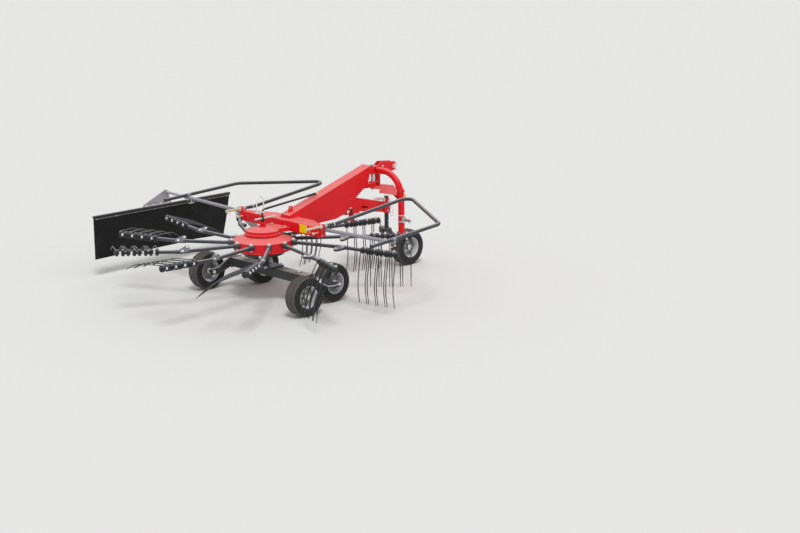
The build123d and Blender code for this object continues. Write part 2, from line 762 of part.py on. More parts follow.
with BuildPart() as rim:
    with BuildSketch(Plane.YZ):
        Polygon(
            (-RIM_HALF_WIDTH, RIM_R - SEAT),
            (-RIM_HALF_WIDTH, RIM_R - RIM_WALL),
            (-HUB_HALF + 20, RIM_R - 22),
            (-6, HUB_R + 16),
            (-HUB_HALF, HUB_R),
            (-HUB_HALF, STUB_R + STUB_FIT),
            (HUB_HALF, STUB_R + STUB_FIT),
            (HUB_HALF, HUB_R),
            (6, HUB_R + 16),
            (HUB_HALF - 20, RIM_R - 22),
            (RIM_HALF_WIDTH, RIM_R - RIM_WALL),
            (RIM_HALF_WIDTH, RIM_R - SEAT),
            align=None,
        )
    revolve(axis=Axis.Y)

# Each wheel's name, X and Y
WHEELS = (
    ("left_front", ROCKER_FRONT_X, FRONT_WHEEL_Y),
    ("left_rear", ROCKER_REAR_X, REAR_WHEEL_Y),
    ("right_front", ROCKER_FRONT_X, -FRONT_WHEEL_Y),
    ("right_rear", ROCKER_REAR_X, -REAR_WHEEL_Y),
    ("jockey", JOCKEY_X, 0),
)
for name, x, y in WHEELS:
    save(tyre.part.moved(Location((x, y, WHEEL_R))), f"tyre_{name}")
    save(rim.part.moved(Location((x, y, WHEEL_R))), f"rim_{name}")

# Jockey wheel's leg and one-sided arm
with BuildPart() as jockey_arm:
    with BuildSketch(Plane.XY.offset(JOCKEY_TUBE_LOW_Z)):
        with Locations((JOCKEY_TUBE_X, 0)):
            Circle(JOCKEY_TUBE_R)
    extrude(amount=JOCKEY_TUBE_HIGH_Z - JOCKEY_TUBE_LOW_Z)
    with BuildSketch(Plane.XY.offset(JOCKEY_TUBE_LOW_Z - JOCKEY_ARM_DEPTH)):
        Polygon(
            (JOCKEY_TUBE_X - 40, -40),
            (JOCKEY_TUBE_X + 40, -40),
            (JOCKEY_TUBE_X + 90, JOCKEY_ARM_Y),
            (JOCKEY_TUBE_X + 90, JOCKEY_ARM_Y + JOCKEY_ARM_WIDTH),
            (JOCKEY_TUBE_X, JOCKEY_ARM_Y + JOCKEY_ARM_WIDTH),
            (JOCKEY_TUBE_X - 40, 40),
            align=None,
        )
    extrude(amount=JOCKEY_ARM_DEPTH)
    with BuildSketch(Plane.XZ.offset(-JOCKEY_ARM_Y - JOCKEY_ARM_WIDTH)):
        Polygon(
            (JOCKEY_TUBE_X + 20, JOCKEY_TUBE_LOW_Z - JOCKEY_ARM_DEPTH),
            (JOCKEY_TUBE_X + 20, JOCKEY_TUBE_LOW_Z),
            (JOCKEY_TUBE_X + 110, JOCKEY_TUBE_LOW_Z),
            (JOCKEY_X + 34, WHEEL_R + 24),
            (JOCKEY_X + 34, WHEEL_R - 30),
            (JOCKEY_X - 34, WHEEL_R - 30),
            align=None,
        )
    extrude(amount=JOCKEY_ARM_WIDTH)
    with BuildSketch(Plane.XZ.offset(HUB_HALF)):
        with Locations((JOCKEY_X, WHEEL_R)):
            Circle(STUB_R)
    extrude(amount=-HUB_HALF - JOCKEY_ARM_Y - JOCKEY_ARM_WIDTH)
save(jockey_arm.part, "jockey_arm")

# Guard frames, hinged on pins along the crossbeam's ends; each has a hollow tube across it
guard_ring = tube(
    ((GUARD_REAR_X, HINGE_Y, HINGE_Z), (CROSS_FRONT_X - 20, HINGE_Y, HINGE_Z), *GUARD_CORNERS),
    GUARD_R,
    GUARD_BEND,
)
tee_way = heading(90, GUARD_TEE_RISE_DEG)
tee_start = Vector(GUARD_TEE_X, HINGE_Y - 12, GUARD_TEE_Z)
tee_length = GUARD_CORNERS[-1][1] + 2 * GUARD_R - tee_start.Y
with BuildPart() as guard_left:
    add(guard_ring)
    with BuildSketch(Plane(origin=tee_start, z_dir=tee_way)):
        Circle(GUARD_R)
    extrude(amount=tee_length)
    with BuildSketch(Plane(origin=tee_start, z_dir=tee_way)):
        Circle(GUARD_BORE_R)
    extrude(amount=tee_length, mode=Mode.SUBTRACT)
    with BuildSketch(Plane.YZ.offset(GUARD_REAR_X)):
        with Locations((HINGE_Y, HINGE_Z)):
            Circle(HINGE_PIN_R + PIVOT_FIT)
    extrude(amount=HINGE_DEPTH, mode=Mode.SUBTRACT)
save(guard_left.part, "guard_left")
save(mirrored(guard_left.part), "guard_right")

# Hinge pins, each through its ear and into the end of its guard
with BuildPart() as guard_pins:
    for side in (-1, 1):
        with BuildSketch(Plane.YZ.offset(HINGE_PIN_REAR_X)):
            with Locations((side * HINGE_Y, HINGE_Z)):
                Circle(HINGE_PIN_R)
        extrude(amount=GUARD_REAR_X + HINGE_DEPTH - 6 - HINGE_PIN_REAR_X)
save(guard_pins.part, "guard_pins")

# Swath curtain: a slide tube in the guard's cross tube, a bracket, a top rail and the sheet
rail_low_z = CURTAIN_HIGH_Z + SEAT
rail_high_z = rail_low_z + RAIL_DEPTH
slide_start = tee_start + tee_way * (SLIDE_TUBE_IN_Y - tee_start.Y)
slide_length = CURTAIN_Y + 20 - SLIDE_TUBE_IN_Y
slide_end_z = (slide_start + tee_way * slide_length).Z
with BuildPart() as curtain_arm:
    with BuildSketch(Plane(origin=slide_start, z_dir=tee_way)):
        Circle(SLIDE_TUBE_R)
    extrude(amount=slide_length)
    with BuildSketch(Plane.XZ.offset(-CURTAIN_Y - 20)):
        Polygon(
            (GUARD_TEE_X + 24, slide_end_z + 20),
            (GUARD_TEE_X - 24, slide_end_z + 20),
            (GUARD_TEE_X - 320, rail_high_z + 20),
            (GUARD_TEE_X - 320, rail_high_z + SEAT),
            (GUARD_TEE_X + 60, rail_high_z + SEAT),
            align=None,
        )
    extrude(amount=10)
    with BuildSketch(Plane.XY.offset(rail_high_z + SEAT)):
        with Locations((GUARD_TEE_X - 130, CURTAIN_Y)):
            Rectangle(380, 40)
    extrude(amount=8)
save(curtain_arm.part, "curtain_arm")

with BuildPart() as curtain_rail:
    with BuildSketch(Plane.XY.offset(rail_low_z)):
        with Locations(((CURTAIN_REAR_X + CURTAIN_FRONT_X) / 2, CURTAIN_Y)):
            Rectangle(CURTAIN_FRONT_X - CURTAIN_REAR_X, RAIL_WIDTH)
    extrude(amount=RAIL_DEPTH)
save(curtain_rail.part, "curtain_rail")

with BuildPart() as curtain:
    with BuildSketch(Plane.XZ.offset(-CURTAIN_Y - CURTAIN_THICKNESS / 2)):
        Polygon(
            (CURTAIN_REAR_X, CURTAIN_LOW_Z),
            (CURTAIN_REAR_X, CURTAIN_HIGH_Z),
            (CURTAIN_FRONT_X, CURTAIN_HIGH_Z),
            (CURTAIN_FRONT_X - CURTAIN_LEAN, CURTAIN_LOW_Z),
            align=None,
        )
    extrude(amount=CURTAIN_THICKNESS)
save(curtain.part, "curtain")
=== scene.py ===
"""Looks of the rotary rake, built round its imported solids. Metres; +X is the way it travels."""

import json
import math
import random

import bmesh
import bpy
from mathutils import Matrix, Vector, noise


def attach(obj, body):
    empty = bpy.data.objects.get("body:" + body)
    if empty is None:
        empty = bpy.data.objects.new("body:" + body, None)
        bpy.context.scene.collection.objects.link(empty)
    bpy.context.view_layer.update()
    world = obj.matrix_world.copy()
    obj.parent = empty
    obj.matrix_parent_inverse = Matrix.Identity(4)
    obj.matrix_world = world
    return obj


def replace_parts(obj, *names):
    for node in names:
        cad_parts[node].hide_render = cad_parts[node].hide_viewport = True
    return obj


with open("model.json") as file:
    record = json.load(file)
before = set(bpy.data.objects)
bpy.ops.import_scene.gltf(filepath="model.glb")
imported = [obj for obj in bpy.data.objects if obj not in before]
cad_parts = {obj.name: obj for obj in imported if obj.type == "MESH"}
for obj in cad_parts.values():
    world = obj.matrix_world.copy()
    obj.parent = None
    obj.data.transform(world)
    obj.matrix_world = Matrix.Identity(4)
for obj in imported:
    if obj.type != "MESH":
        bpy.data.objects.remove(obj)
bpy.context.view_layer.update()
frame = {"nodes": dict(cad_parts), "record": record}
nodes = frame["nodes"]
random.seed(11)

# Everything is placed from the rotor's axis, as in the part's source.
AXIS = Vector((-0.3826, -0.1894, 0.0))
X, Y, Z = Vector((1, 0, 0)), Vector((0, 1, 0)), Vector((0, 0, 1))
SIDES = (("left", 1), ("right", -1))

# Rotor arms; angles are in degrees
ARM_COUNT = 11
ARM_Z = 0.621
FIRST_ARM, ARM_TRAIL, BEND_TRAIL = -21.3, -16.9, -7.8
SOCKET_R = 0.33
BEND_AT = 0.602
BAR_LENGTH, BAR_R = 0.648, 0.019
# Roll of the tines and rise of the bar for each arm
ARMS = ((8, 0), (10, 0), (27, 1), (67, 3), (84, 3), (84, 3), (84, 3), (72, 3), (42, 2), (6, 0), (4, 0))
# Tine sets: the place of each clamp along its bar, the coils on both its sides, and the wire
SET_MIDDLES = [0.256 + 0.113 * number for number in range(4)]
COIL_R, COIL_TURNS, COIL_STEPS = 0.03125, 3.25, 18
COIL_START, COIL_END = 0.0145, 0.04425
WIRE_R = 0.005
TINE_UPPER, TINE_LOWER = 0.36, 0.192
TINE_KNEE, KNEE_REACH = 20, 0.17
# Distances from the bar's middle: a clamp block's seat, and its outer face on the upper and lower side
CLAMP_SEAT, CLAMP_HIGH, CLAMP_LOW = 0.0195, 0.0385, 0.030

WHEEL_Z = 0.204
REAR_WHEEL_X, FRONT_WHEEL_X, JOCKEY_WHEEL_X = -0.14, 0.43, 2.12
# Each wheel's name, centre and the side that its hub cap is on
WHEELS = (
    ("left_front", Vector((FRONT_WHEEL_X, 0.565, WHEEL_Z)), -1),
    ("left_rear", Vector((REAR_WHEEL_X, 0.79, WHEEL_Z)), 1),
    ("right_front", Vector((FRONT_WHEEL_X, -0.565, WHEEL_Z)), 1),
    ("right_rear", Vector((REAR_WHEEL_X, -0.79, WHEEL_Z)), -1),
    ("jockey", Vector((JOCKEY_WHEEL_X, 0, WHEEL_Z)), -1),
)

# The main beam's sides, where its welds and bolts sit
BEAM_SIDE = 0.0705

# Guards: the hinge's line, and the cross tube from its foot to its end, with its rise in degrees
HINGE_Y, HINGE_Z = 0.652, 0.838
TEE_X, TEE_FOOT_Y, TEE_FOOT_Z, TEE_END_Y, TEE_RISE = 0.29, 0.640, 0.795, 1.691, 1.3


def heading(degrees, rise=0.0):
    """A direction on the compass with a rise above level, both in degrees."""
    a, e = math.radians(degrees), math.radians(rise)
    return Vector((math.cos(e) * math.cos(a), math.cos(e) * math.sin(a), math.sin(e)))


def around(first, second, angle):
    """A direction in the plane of two unit vectors; the angle is in radians."""
    return first * math.cos(angle) + second * math.sin(angle)


def box(half_width, half_height):
    """The outline of a rectangle round its middle."""
    return (
        (-half_width, -half_height), (half_width, -half_height),
        (half_width, half_height), (-half_width, half_height),
    )


# ---------------------------------------------------------------- materials
DUST, LOW_DUST = (0.27, 0.255, 0.21), (0.23, 0.22, 0.18)
LOW_DUST_TOP = 0.45
COAT_ROUGHNESS = 0.18


def finish(
    name, colour, rough, metal=0.0, spread=0.1, painted_top_light=None, painted_top_light_amount=0.0, worn=None, worn_amount=0.0,
    dust=0.0, grain=260.0, bump=0.05, coat=0.0, low_dust=0.0, gloss=0.5, band=None,
):
    """A node material: uneven colour, an upper side painted lighter as if lit from above, dust that settles on top,
    worn edges, grain and gloss.

    A band is a stretch of the piece's own X, from one place to another, in a colour of its own.
    """
    made = bpy.data.materials.new(name)
    made.use_nodes = True
    tree = made.node_tree
    shader = tree.nodes["Principled BSDF"]
    shader.inputs["Metallic"].default_value = metal
    shader.inputs["Coat Weight"].default_value = coat
    shader.inputs["Coat Roughness"].default_value = COAT_ROUGHNESS
    shader.inputs["Specular IOR Level"].default_value = gloss
    new, link = tree.nodes.new, tree.links.new

    def node(kind, **sockets):
        built = new(kind)
        for key, value in sockets.items():
            built.inputs[key].default_value = value
        return built

    def times(first, second):
        built = new("ShaderNodeMath")
        built.operation = "MULTIPLY"
        built.use_clamp = True
        link(first, built.inputs[0])
        link(second, built.inputs[1])
        return built.outputs[0]

    def ramp(value, low, high, to_low=0.0, to_high=1.0):
        ends = {"From Min": low, "From Max": high, "To Min": to_low, "To Max": to_high}
        built = node("ShaderNodeMapRange", **ends)
        link(value, built.inputs["Value"])
        return built.outputs["Result"]

    def mix(factor, first, second):
        built = new("ShaderNodeMix")
        built.data_type = "RGBA"
        link(factor, built.inputs["Factor"])
        for socket, value in ((built.inputs[6], first), (built.inputs[7], second)):
            if isinstance(value, tuple):
                socket.default_value = (*value, 1)
            else:
                link(value, socket)
        return built.outputs[2]

    def part(vector, axis):
        built = new("ShaderNodeSeparateXYZ")
        link(vector, built.inputs[0])
        return built.outputs[axis]

    place = new("ShaderNodeTexCoord").outputs["Object"]
    broad = node("ShaderNodeTexNoise", Scale=5.0, Detail=5.0, Roughness=0.6)
    fine = node("ShaderNodeTexNoise", Scale=grain, Detail=3.0)
    spots = node("ShaderNodeTexNoise", Scale=42.0, Detail=6.0, Roughness=0.7)
    for texture in (broad, fine, spots):
        link(place, texture.inputs["Vector"])
    patches = spots.outputs["Fac"]
    darker = tuple(c * (1 - spread) for c in colour)
    lighter = tuple(min(1.0, c * (1 + spread) + spread * 0.02) for c in colour)
    tone = mix(ramp(broad.outputs["Fac"], 0.3, 0.7), darker, lighter)
    if band:
        low, high, other_colour = band
        lengthwise = part(place, "X")
        inside = times(ramp(lengthwise, low - 0.001, low), ramp(lengthwise, high + 0.001, high))
        tone = mix(inside, tone, other_colour)
    geometry = new("ShaderNodeNewGeometry")
    normal = geometry.outputs["Normal"]
    upward = part(normal, "Z")
    # Painted top light: faces turned upwards take a lighter colour that stands for light from above
    if painted_top_light:
        painted_top_light_mask = ramp(upward, 0.55, 0.98, 0.0, painted_top_light_amount)
        tone = mix(times(painted_top_light_mask, ramp(patches, 0.2, 0.6, 0.75, 1.0)), tone, painted_top_light)
    if dust:
        settled = ramp(upward, -0.6, 1.0, dust * 0.3, dust)
        tone = mix(times(ramp(patches, 0.35, 0.75), settled), tone, DUST)
    if low_dust:
        height = ramp(part(geometry.outputs["Position"], "Z"), LOW_DUST_TOP, 0.0, 0.0, low_dust)
        tone = mix(times(height, ramp(patches, 0.3, 0.7)), tone, LOW_DUST)
    if worn:
        rounded_off = node("ShaderNodeBevel", Radius=0.004)
        rounded_off.samples = 4
        same = new("ShaderNodeVectorMath")
        same.operation = "DOT_PRODUCT"
        link(rounded_off.outputs[0], same.inputs[0])
        link(normal, same.inputs[1])
        edge = ramp(same.outputs["Value"], 0.97, 0.85, 0.0, worn_amount)
        tone = mix(times(edge, ramp(patches, 0.42, 0.62)), tone, worn)
    link(tone, shader.inputs["Base Color"])
    link(ramp(patches, 0.3, 0.7, max(0.02, rough - 0.07), rough + 0.09), shader.inputs["Roughness"])
    relief = node("ShaderNodeBump", Strength=bump, Distance=0.002)
    link(fine.outputs["Fac"], relief.inputs["Height"])
    link(relief.outputs["Normal"], shader.inputs["Normal"])
    return made


WORN_GREY, RUST = (0.2, 0.19, 0.18), (0.2, 0.13, 0.08)
# Dark zinc grey with a painted lighter top that stands for light from above
GALVANISED = dict(
    colour=(0.042, 0.045, 0.05), rough=0.38, painted_top_light=(0.42, 0.41, 0.44), painted_top_light_amount=0.85, worn=(0.4, 0.4, 0.4),
    worn_amount=0.6, dust=0.08, spread=0.14, gloss=0.35,
)
# The red and grey paints take painted top light: pink and pale grey on upward faces, standing for light from above
SLOT_LOOKS = {
    "red_paint": dict(
        colour=(0.78, 0.007, 0.014), rough=0.36, painted_top_light=(0.93, 0.26, 0.25), painted_top_light_amount=0.8, worn=(0.86, 0.14, 0.12),
        worn_amount=0.5, dust=0.02, bump=0.04, coat=0.06, spread=0.07, gloss=0.22),
    "grey_paint": dict(
        colour=(0.042, 0.046, 0.055), rough=0.4, painted_top_light=(0.45, 0.46, 0.5), painted_top_light_amount=0.82, worn=WORN_GREY,
        worn_amount=0.5, dust=0.14, low_dust=0.15, spread=0.15, gloss=0.35),
    "rim_paint": dict(
        colour=(0.56, 0.56, 0.6), rough=0.36, dust=0.12, low_dust=0.12, worn=RUST, worn_amount=0.35),
    "zinc": dict(colour=(0.86, 0.76, 0.5), rough=0.34, metal=0.5, dust=0.06, grain=420.0, spread=0.12),
    "steel": dict(colour=(0.6, 0.6, 0.6), rough=0.3, metal=0.9, dust=0.15, grain=600.0, spread=0.12),
    "galvanised": GALVANISED,
    "tyre": dict(
        colour=(0.018, 0.018, 0.019), rough=0.75, dust=0.07, low_dust=0.07, grain=180.0, bump=0.25, spread=0.2,
        gloss=0.2),
    "black_sheet": dict(
        colour=(0.009, 0.0095, 0.0095), rough=0.66, dust=0.03, grain=700.0, bump=0.3, spread=0.25, gloss=0.16),
}
MATERIALS = {slot: finish(slot, **look) for slot, look in SLOT_LOOKS.items()}

# Looks of single pieces
# The black, spring steel and plated looks take painted top light: a lighter colour on upward faces for light from
# above
BLACK_PAINT = finish(
    "black_paint", (0.018, 0.018, 0.02), 0.4, painted_top_light=(0.2, 0.2, 0.21), painted_top_light_amount=0.6, dust=0.06, grain=500.0,
    bump=0.1, gloss=0.4)
SPRING = finish(
    "spring_steel", (0.026, 0.027, 0.03), 0.38, metal=0.1, painted_top_light=(0.4, 0.4, 0.42), painted_top_light_amount=0.8, dust=0.08,
    low_dust=0.05, grain=500.0, gloss=0.3)
BRIGHT = finish("bright_zinc", (0.86, 0.86, 0.85), 0.33, metal=0.4, dust=0.06, grain=500.0)
PLATED = finish(
    "plated_sheet", (0.4, 0.4, 0.43), 0.36, metal=0.25, painted_top_light=(0.7, 0.7, 0.73), painted_top_light_amount=0.7, dust=0.1, grain=400.0)
# Dark grey that paints the shade inside the dished wheel webs, with real dust and rusty edges on it; the curtain strip
# takes it too
SHADE_AND_DUST = finish(
    "painted_shade_and_dust", (0.2, 0.205, 0.2), 0.5, dust=0.3, low_dust=0.1, worn=RUST, worn_amount=0.4, spread=0.2)
# The guards' cross tubes are lighter than their frames
GUARD_PAINT = finish(
    "guard_paint", **GALVANISED, band=(AXIS.x + TEE_X - 0.022, AXIS.x + TEE_X + 0.022, (0.3, 0.3, 0.33)))
# Pale red that paints the sky's reflection on the headstock's leaning plates
SKY_REFLECTION_RED = finish("painted_sky_reflection_red", (0.84, 0.17, 0.17), 0.4, spread=0.06, gloss=0.3)
WHITE = finish("white_plastic", (0.88, 0.86, 0.84), 0.35, dust=0.05, grain=400.0)
YELLOW = finish("yellow_plate", (1.0, 0.7, 0.002), 0.42, spread=0.03, gloss=0.15)
TREAD = finish(
    "dusty_tread", (0.098, 0.09, 0.088), 0.8, dust=0.2, low_dust=0.05, grain=180.0, bump=0.25, spread=0.2, gloss=0.2)
# The tan top of the axle and rockers is painted light from above mixed with dust
AXLE_PAINT = finish(
    "axle_paint", (0.034, 0.036, 0.04), 0.42, painted_top_light=(0.47, 0.44, 0.4), painted_top_light_amount=0.85, worn=WORN_GREY,
    worn_amount=0.5, dust=0.12, low_dust=0.1, spread=0.15, gloss=0.3)
ORANGE = finish("orange_lens", (0.95, 0.33, 0.01), 0.18, dust=0.03, grain=900.0, bump=0.4, coat=0.4)

NODE_LOOKS = {
    "crank_rod": BLACK_PAINT, "curtain_rail": BLACK_PAINT, "curtain_arm": PLATED,
    "guard_left": GUARD_PAINT, "guard_right": GUARD_PAINT,
    "axle_beam": AXLE_PAINT, "rocker_left": AXLE_PAINT, "rocker_right": AXLE_PAINT,
}
for entry in frame["record"]["subparts"]:
    item = nodes[entry["node"]]
    item.data.materials.clear()
    item.data.materials.append(NODE_LOOKS.get(entry["node"], MATERIALS[entry["material_slot"]]))


# ---------------------------------------------------------------- mesh building
def skin(rings, count, closed=False):
    """Faces between successive rings of points; a closed skin joins its last ring to its first."""
    faces = []
    for i in range(rings if closed else rings - 1):
        here, there = i * count, (i + 1) % rings * count
        for step in range(count):
            following = (step + 1) % count
            faces.append((here + step, here + following, there + following, there + step))
    return faces


def capped_skin(rings, count):
    """An open skin with a face over its first and its last ring."""
    return skin(rings, count) + [tuple(reversed(range(count))), tuple((rings - 1) * count + i for i in range(count))]


class Shape:
    """Gathers the faces of one piece, in metres from the rotor's axis."""

    def __init__(self):
        self.points = []
        self.faces = []

    def add(self, points, faces):
        """Takes in more points, and faces that count from the first of them."""
        base = len(self.points)
        self.points += [Vector(p) for p in points]
        self.faces += [tuple(base + i for i in face) for face in faces]

    def tube(self, line, radius, sides=12):
        """A round rod along a line; the radius may change from point to point."""
        line = [Vector(p) for p in line]
        count = len(line)
        radii = radius if isinstance(radius, (list, tuple)) else [radius] * count
        ways = [(line[min(i + 1, count - 1)] - line[max(i - 1, 0)]).normalized() for i in range(count)]
        side = ways[0].orthogonal().normalized()
        points = []
        for spot, way, r in zip(line, ways, radii):
            side = (side - way * side.dot(way)).normalized()
            other = way.cross(side)
            points += [spot + around(side, other, 2 * math.pi * step / sides) * r for step in range(sides)]
        self.add(points, capped_skin(count, sides))

    def lathe(self, start, way, profile, sides=24, twist=0.0):
        """A turned form; its profile gives (distance along the axis, radius)."""
        start, way = Vector(start), Vector(way).normalized()
        side = Matrix.Rotation(twist, 3, way) @ way.orthogonal().normalized()
        other = way.cross(side)
        points = [
            start + way * along + around(side, other, 2 * math.pi * step / sides) * max(r, 1e-5)
            for along, r in profile for step in range(sides)
        ]
        self.add(points, capped_skin(len(profile), sides))

    def collar(self, start, way, inner, outer, high, sides):
        """A flat ring from one radius to another."""
        self.lathe(start, way, ((0, inner), (0, outer), (high, outer), (high, inner)), sides)

    def ring(self, start, way, section, sides):
        """A closed section turned about an axis, with an open middle."""
        start, way = Vector(start), Vector(way).normalized()
        side = way.orthogonal().normalized()
        other = way.cross(side)
        points = [
            start + way * along + around(side, other, 2 * math.pi * step / sides) * r
            for step in range(sides) for along, r in section
        ]
        self.add(points, skin(sides, len(section), closed=True))

    def plate(self, outline, origin, right, up, thick, chamfer=0.0015):
        """A plate with chamfered edges, centred on its plane."""
        origin, right, up = Vector(origin), Vector(right).normalized(), Vector(up).normalized()
        out = right.cross(up)
        flat = [Vector(p) for p in outline]
        middle = sum(flat, Vector((0, 0))) / len(flat)
        rings = ((-thick / 2, 1), (-thick / 2 + chamfer, 0), (thick / 2 - chamfer, 0), (thick / 2, 1))
        points = []
        for depth, drawn_in in rings:
            for p in flat:
                q = p + (middle - p).normalized() * chamfer * drawn_in
                points.append(origin + right * q.x + up * q.y + out * depth)
        self.add(points, capped_skin(len(rings), len(flat)))

    def bolt(self, seat, way, r=0.011, high=0.008, washer=True):
        """A hexagon head on its washer, with the screw's end in it."""
        way = Vector(way).normalized()
        seat = Vector(seat)
        turn = random.uniform(0, math.pi / 3)
        if washer:
            self.lathe(seat, way, ((0, r * 1.35), (0.0016, r * 1.35), (0.002, r * 1.28)), 20)
            seat = seat + way * 0.002
        self.lathe(seat, way, ((0, r * 0.98), (high * 0.85, r), (high, r * 0.84)), 6, turn)
        self.lathe(seat + way * high, way, ((0, r * 0.5), (0.0035, r * 0.48), (0.0045, r * 0.4)), 12)

    def bead(self, line, r=0.004):
        """A weld bead: a low ridge with small scallops."""
        spots = []
        line = [Vector(p) for p in line]
        for a, b in zip(line, line[1:]):
            steps = max(2, int((b - a).length / 0.006))
            spots += [a.lerp(b, i / steps) for i in range(steps)]
        spots.append(line[-1])
        self.tube(spots, [r * (1 + 0.18 * math.sin(i * 2.1)) for i in range(len(spots))], 6)

    def make(self, name, body, slot=None, material=None, sharp=35.0):
        """The finished piece, which rides a body; a material given here goes before its slot's."""
        mesh = bpy.data.meshes.new(name)
        mesh.from_pydata([p + AXIS for p in self.points], [], self.faces)
        mesh.update()
        work = bmesh.new()
        work.from_mesh(mesh)
        bmesh.ops.recalc_face_normals(work, faces=work.faces)
        work.to_mesh(mesh)
        work.free()
        mesh.polygons.foreach_set("use_smooth", [True] * len(mesh.polygons))
        mesh.set_sharp_from_angle(angle=math.radians(sharp))
        built = bpy.data.objects.new(name, mesh)
        bpy.context.scene.collection.objects.link(built)
        mesh.materials.append(material or MATERIALS[slot])
        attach(built, body)
        return built


def arc(middle, first, second, r, start, end, steps):
    """Points on an arc in the plane of two unit vectors, in degrees."""
    middle = Vector(middle)
    return [
        middle + around(first, second, math.radians(start + (end - start) * i / steps)) * r
        for i in range(steps + 1)
    ]


def rounded(line, r, steps=6):
    """A line with its inner corners rounded."""
    line = [Vector(p) for p in line]
    spots = [line[0]]
    for before, corner, after in zip(line, line[1:], line[2:]):
        a, b = (before - corner).normalized(), (after - corner).normalized()
        reach = min(r, (before - corner).length * 0.49, (after - corner).length * 0.49)
        p, q = corner + a * reach, corner + b * reach
        for i in range(steps + 1):
            t = i / steps
            spots.append(p * (1 - t) ** 2 + corner * 2 * t * (1 - t) + q * t ** 2)
    spots.append(line[-1])
    return spots


# ---------------------------------------------------------------- rotor arms and tines
def arm_frames():
    """Each arm's roll, its tube's root, direction and bend, and its bar's directions: along, up and aside."""
    for number, (roll, rise) in enumerate(ARMS):
        place = FIRST_ARM - number * 360 / ARM_COUNT
        along = heading(place + ARM_TRAIL)
        root = heading(place) * SOCKET_R + Z * ARM_Z
        bend = root + along * BEND_AT
        bar = heading(place + ARM_TRAIL + BEND_TRAIL, rise)
        leading = Z.cross(bar).normalized()
        up = Matrix.Rotation(math.radians(-roll), 3, bar) @ bar.cross(leading)
        yield roll, root, along, bend, bar, up, up.cross(bar)


def tine_line(middle, bar, up, side, way):
    """One tine's wire, from under the clamp round its coil and down to the tip."""
    line = [middle + up * COIL_R, middle + up * COIL_R + bar * way * 0.006]
    steps = int(COIL_TURNS * COIL_STEPS)
    for i in range(steps + 1):
        out = middle + bar * way * (COIL_START + (COIL_END - COIL_START) * i / steps)
        line.append(out + around(up, -side, 2 * math.pi * COIL_TURNS * i / steps) * COIL_R)
    hip = line[-1]
    knee = hip - up * TINE_UPPER
    lower = Matrix.Rotation(math.radians(TINE_KNEE), 3, bar) @ -up
    return line + rounded((hip - up * 0.03, knee, knee + lower * TINE_LOWER), KNEE_REACH, 10)


BAR_PLUG = ((0, 0.0165), (0.013, 0.0165), (0.013, 0.0188), (0.0145, 0.0186), (0.0165, 0.015))
BAR_COLLAR = ((0, 0.0193), (0.002, 0.0222), (0.03, 0.0222), (0.032, 0.0193))
SOCKET_SLEEVE = ((0, 0.0282), (0.004, 0.0305), (0.052, 0.0305), (0.057, 0.0282))
SOCKET_LIP = ((0, 0.0195), (0, 0.0315), (0.012, 0.0318), (0.0145, 0.029), (0.0145, 0.0195))
# Lug at the arm's bend: where it starts before the bend, its lean and its half thickness
LUG_BACK, LUG_LEAN, LUG_HALF = 0.110, -50, 0.013

bars, plugs, tines, clamps, sockets, studs = (Shape() for _ in range(6))
for roll, root, along, bend, bar, up, side in arm_frames():
    bars.tube((bend, bend + bar * (BAR_LENGTH - 0.002)), BAR_R, 24)
    plugs.lathe(bend + bar * (BAR_LENGTH - 0.014), bar, BAR_PLUG, 20)
    bars.lathe(bend + bar * 0.004, bar, BAR_COLLAR, 24)
    for at in SET_MIDDLES:
        middle = bend + bar * at
        for way in (-1, 1):
            line = tine_line(middle, bar, up, side, way)
            tines.tube(line, [WIRE_R] * (len(line) - 2) + [WIRE_R * 0.9, WIRE_R * 0.7], 8)
        for face, reach in ((up, CLAMP_HIGH), (-up, CLAMP_LOW)):
            block = middle + face * (CLAMP_SEAT + reach) / 2
            clamps.plate(box(0.010, 0.013), block, bar, face.cross(bar), reach - CLAMP_SEAT, 0.002)
            clamps.bolt(middle + face * reach, face, 0.0085, 0.006, False)
    lug_way = Matrix.Rotation(math.radians(LUG_LEAN - roll), 3, along) @ -Z
    flat = along.cross(lug_way)
    foot = root + along * (BEND_AT - LUG_BACK)
    for way in (-1, 1):
        for ahead, out in ((0.02, 0.041), (0.078, 0.0)):
            seat = foot + along * ahead + lug_way * out + flat * way * LUG_HALF
            clamps.bolt(seat, flat * way, 0.0095, 0.008)
    sockets.lathe(root - along * 0.038, along, SOCKET_SLEEVE, 28)
    sockets.lathe(root + along * 0.0165, along, SOCKET_LIP, 28)
    studs.bolt(root + Z * 0.0295 - along * 0.008, Z, 0.016, 0.013)
    studs.bolt(root - Z * 0.0295 - along * 0.008, -Z, 0.012, 0.009)

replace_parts(bars.make("tine_bar_tubes", "rotor", "grey_paint"), "tine_bars")
plugs.make("tine_bar_plugs", "rotor", material=BLACK_PAINT)
tines.make("spring_tines", "rotor", "grey_paint", SPRING)
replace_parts(clamps.make("tine_clamps", "rotor", "zinc", BRIGHT), "bar_clips")
sockets.make("socket_sleeves", "rotor", "grey_paint")
studs.make("socket_bolts", "rotor", "zinc", BRIGHT)

